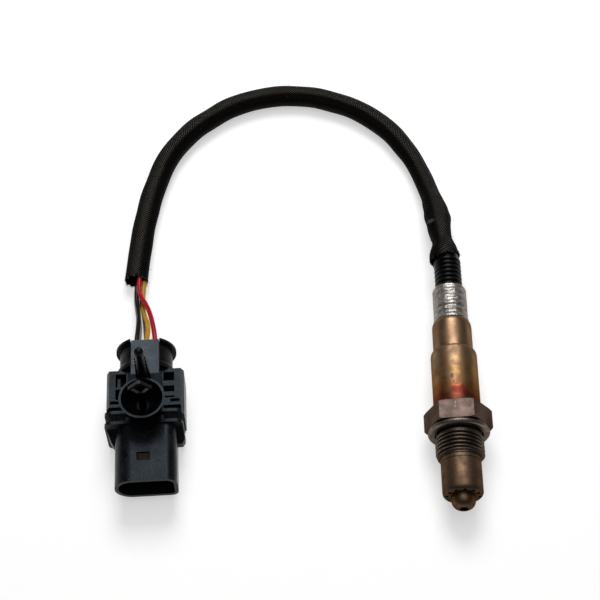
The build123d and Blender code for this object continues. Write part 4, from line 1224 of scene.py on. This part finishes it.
arc = add_node(fray_tree, "GeometryNodeCurveQuadraticBezier", {
    "Resolution": 5, "Start": (0, 0, -0.3), "Middle": (0.05, 0.0, 0.5), "End": (0.35, 0.1, 1.0)})
length = given["Length"]
sized = add_node(fray_tree, "GeometryNodeTransform", {
    "Geometry": arc.outputs["Curve"], "Scale": joined(fray_tree, X=length, Y=length, Z=length)})
placed = add_node(fray_tree, "GeometryNodeInstanceOnPoints", {
    "Points": points.outputs["Points"], "Instance": sized.outputs["Geometry"],
    "Rotation": turned.outputs["Rotation"], "Scale": size.outputs[1]})
real = add_node(fray_tree, "GeometryNodeRealizeInstances", {
    "Geometry": placed.outputs["Instances"]})
ring = add_node(fray_tree, "GeometryNodeCurvePrimitiveCircle", {
    "Resolution": 5, "Radius": given["Yarn radius"]}, mode="RADIUS")
even = add_node(fray_tree, "GeometryNodeSetCurveRadius", {
    "Curve": real.outputs["Geometry"], "Radius": 1.0})
yarns = add_node(fray_tree, "GeometryNodeCurveToMesh", {
    "Curve": even.outputs["Curve"], "Profile Curve": ring.outputs["Curve"], "Fill Caps": True})
soft = add_node(fray_tree, "GeometryNodeSetShadeSmooth", {"Geometry": yarns.outputs["Mesh"]})
end_geometry(fray_tree, result, soft.outputs["Geometry"], given["Finish"])
print("tree", fray_tree.name, "with", len(fray_tree.nodes), "nodes")

# %% [markdown]
# The yarns stand on loose points, each with the direction in which its yarn leaves. On a cut
# end they sit inside the thickness of the wall and point out of the sleeve. The broken ones
# sit just under the skin and point up and a little forwards.

# %% the points that the yarns stand on
END_YARNS = 150
STRAY_YARNS = 40
WITHIN_WALL = (0.1, 0.9)
END_FLARE = 0.35 * MM
STRAY_MARGIN = 5 * MM
STRAY_SUNK = 0.15 * MM
STRAY_FORWARD, STRAY_UP = 0.4 * MM, 0.6 * MM
yarn_draw = np.random.default_rng(12)


def edge_points(edge_s, edge_r, run_sign, count):
    """Points round a cut edge, and the way out of the sleeve at each."""
    a = yarn_draw.uniform(0, 2 * math.pi, count)
    columns = (a / (2 * math.pi) * AROUND).astype(int) % AROUND
    s = edge_s.ravel()[columns]
    r = edge_r.ravel()[columns] - SLEEVE_WALL * yarn_draw.uniform(*WITHIN_WALL, count)
    here = tube_points(s, a, r)
    out = tube_points(s + run_sign * MM, a, r + END_FLARE) - here
    return here, out / MM


def stray_points(count):
    """Points on the sleeve's skin, where a broken yarn sticks up."""
    a = yarn_draw.uniform(0, 2 * math.pi, count)
    s = yarn_draw.uniform(STRAY_MARGIN, sleeve_length - STRAY_MARGIN, count)
    r = np.full(count, SLEEVE_RADIUS - STRAY_SUNK)
    here = tube_points(s, a, r)
    out = tube_points(s + STRAY_FORWARD, a, r + STRAY_UP) - here
    return here, out / MM


roots, ways = zip(edge_points(s_out[0], r_out[0], -1, END_YARNS),
                  edge_points(s_out[-1], r_out[-1], 1, END_YARNS), stray_points(STRAY_YARNS))
root_mesh = bpy.data.meshes.new("yarn roots")
root_mesh.from_pydata(np.concatenate(roots).tolist(), [], [])
root_mesh.attributes.new("outward", VECTOR, "POINT").data.foreach_set(
    "vector", np.concatenate(ways).ravel())
print("yarn roots", len(root_mesh.vertices))

# %% the loose yarns
YARN_LENGTH = 1.15 * MM
YARN_RADIUS = 0.055 * MM
LOOSE_DARK, LOOSE_PALE = (0.010, 0.009, 0.009), (0.060, 0.055, 0.050)
yarn_finish, tree, shader, place = new_finish("loose yarn")
aged = worn(tree, blotch=0.002, speck=0.0007, specks=0.3)
fill(tree, shader["Base Color"], mixed(tree, aged["Blotches"], LOOSE_DARK, LOOSE_PALE))
shader["Roughness"].default_value = 0.6
loose_yarns = grown("loose_yarns", fray_tree, {
    "Share": 0.8, "Length": YARN_LENGTH, "Yarn radius": YARN_RADIUS, "Seed": 5,
    "Finish": yarn_finish}, root_mesh)
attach(loose_yarns, "root")
print("loose yarns", len(loose_yarns.data.polygons), "faces")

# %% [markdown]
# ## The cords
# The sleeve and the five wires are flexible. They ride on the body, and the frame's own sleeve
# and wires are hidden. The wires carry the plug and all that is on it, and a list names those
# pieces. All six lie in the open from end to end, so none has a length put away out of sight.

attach(sleeve, "root")
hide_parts("braided_sleeve")
PLUG_PIECES = ["plug_housing", "rear_cap", "wire_seal", "cavity_plug", "terminal_lock",
               "trim_resistor", "mounting_clip"]
PLUG_PIECES += [f"terminal_{colour}" for colour in WIRE_PLAN]
for colour, (wire, start) in wires.items():
    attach(wire, "root")
    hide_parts(f"wire_{colour}")
print("cords declared", 1 + len(wires))

# %% [markdown]
# ## The floor
# A pale floor carries the soft shadow. Its paper glows only for the camera and for what is
# mirrored, so it looks almost white there and sends no extra light onto the object.

# %% floor
FLOOR_REACH = 3
PAPER = 0.62
TOOTH = 0.01
TOOTH_SIZE = 0.02
PAPER_GLOW = 0.52
floor_mesh = bpy.data.meshes.new("floor")
floor_mesh.from_pydata([(x * FLOOR_REACH, y * FLOOR_REACH, FLOOR_Z)
                        for x, y in [(-1, -1), (1, -1), (1, 1), (-1, 1)]], [], [(0, 1, 2, 3)])
floor = into_scene("floor", floor_mesh)
paper, tree, shader, place = new_finish("white paper")
fill(tree, shader["Base Color"],
     mixed(tree, noise(tree, place, TOOTH_SIZE), (PAPER,) * 3, (PAPER - TOOTH,) * 3))
shader["Roughness"].default_value = 0.8
shader["Specular IOR Level"].default_value = 0.1
rays = add_node(tree, "ShaderNodeLightPath").outputs
seen = maths(tree, "MAXIMUM", rays["Is Camera Ray"],
             maths(tree, "MAXIMUM", rays["Is Glossy Ray"], rays["Is Transmission Ray"]))
shader["Emission Color"].default_value = (1, 1, 1, 1)
fill(tree, shader["Emission Strength"], product(tree, seen, PAPER_GLOW))
floor_mesh.materials.append(paper)
print("floor at", FLOOR_Z)

# %% [markdown]
# ## The light
# The main light is a wide soft one beyond the object, so that faces which look up mirror it
# towards the camera and the rest stays dark. A weaker one overhead and a faint grey world keep
# the shadows open. A light at the camera would flatten the black pieces.

# %% lights
AIM = Vector((-0.06, 0.06, 0))
# name, place, width and power
LIGHTS = [("main light", (-0.06, 0.60, 0.80), 0.5, 6.5),
          ("overhead light", (-0.06, -0.05, 0.95), 0.8, 2.6)]
for name, place, width, power in LIGHTS:
    lamp = into_scene(name, bpy.data.lights.new(name, "AREA"))
    lamp.data.size = width
    lamp.data.energy = power
    lamp.location = place
    lamp.rotation_euler = (AIM - Vector(place)).to_track_quat("-Z", "Y").to_euler()
world = bpy.data.worlds.new("world")
world.use_nodes = True
scene.world = world
backdrop = world.node_tree.nodes["Background"]
backdrop.inputs["Color"].default_value = (1, 1, 1, 1)
backdrop.inputs["Strength"].default_value = 0.10
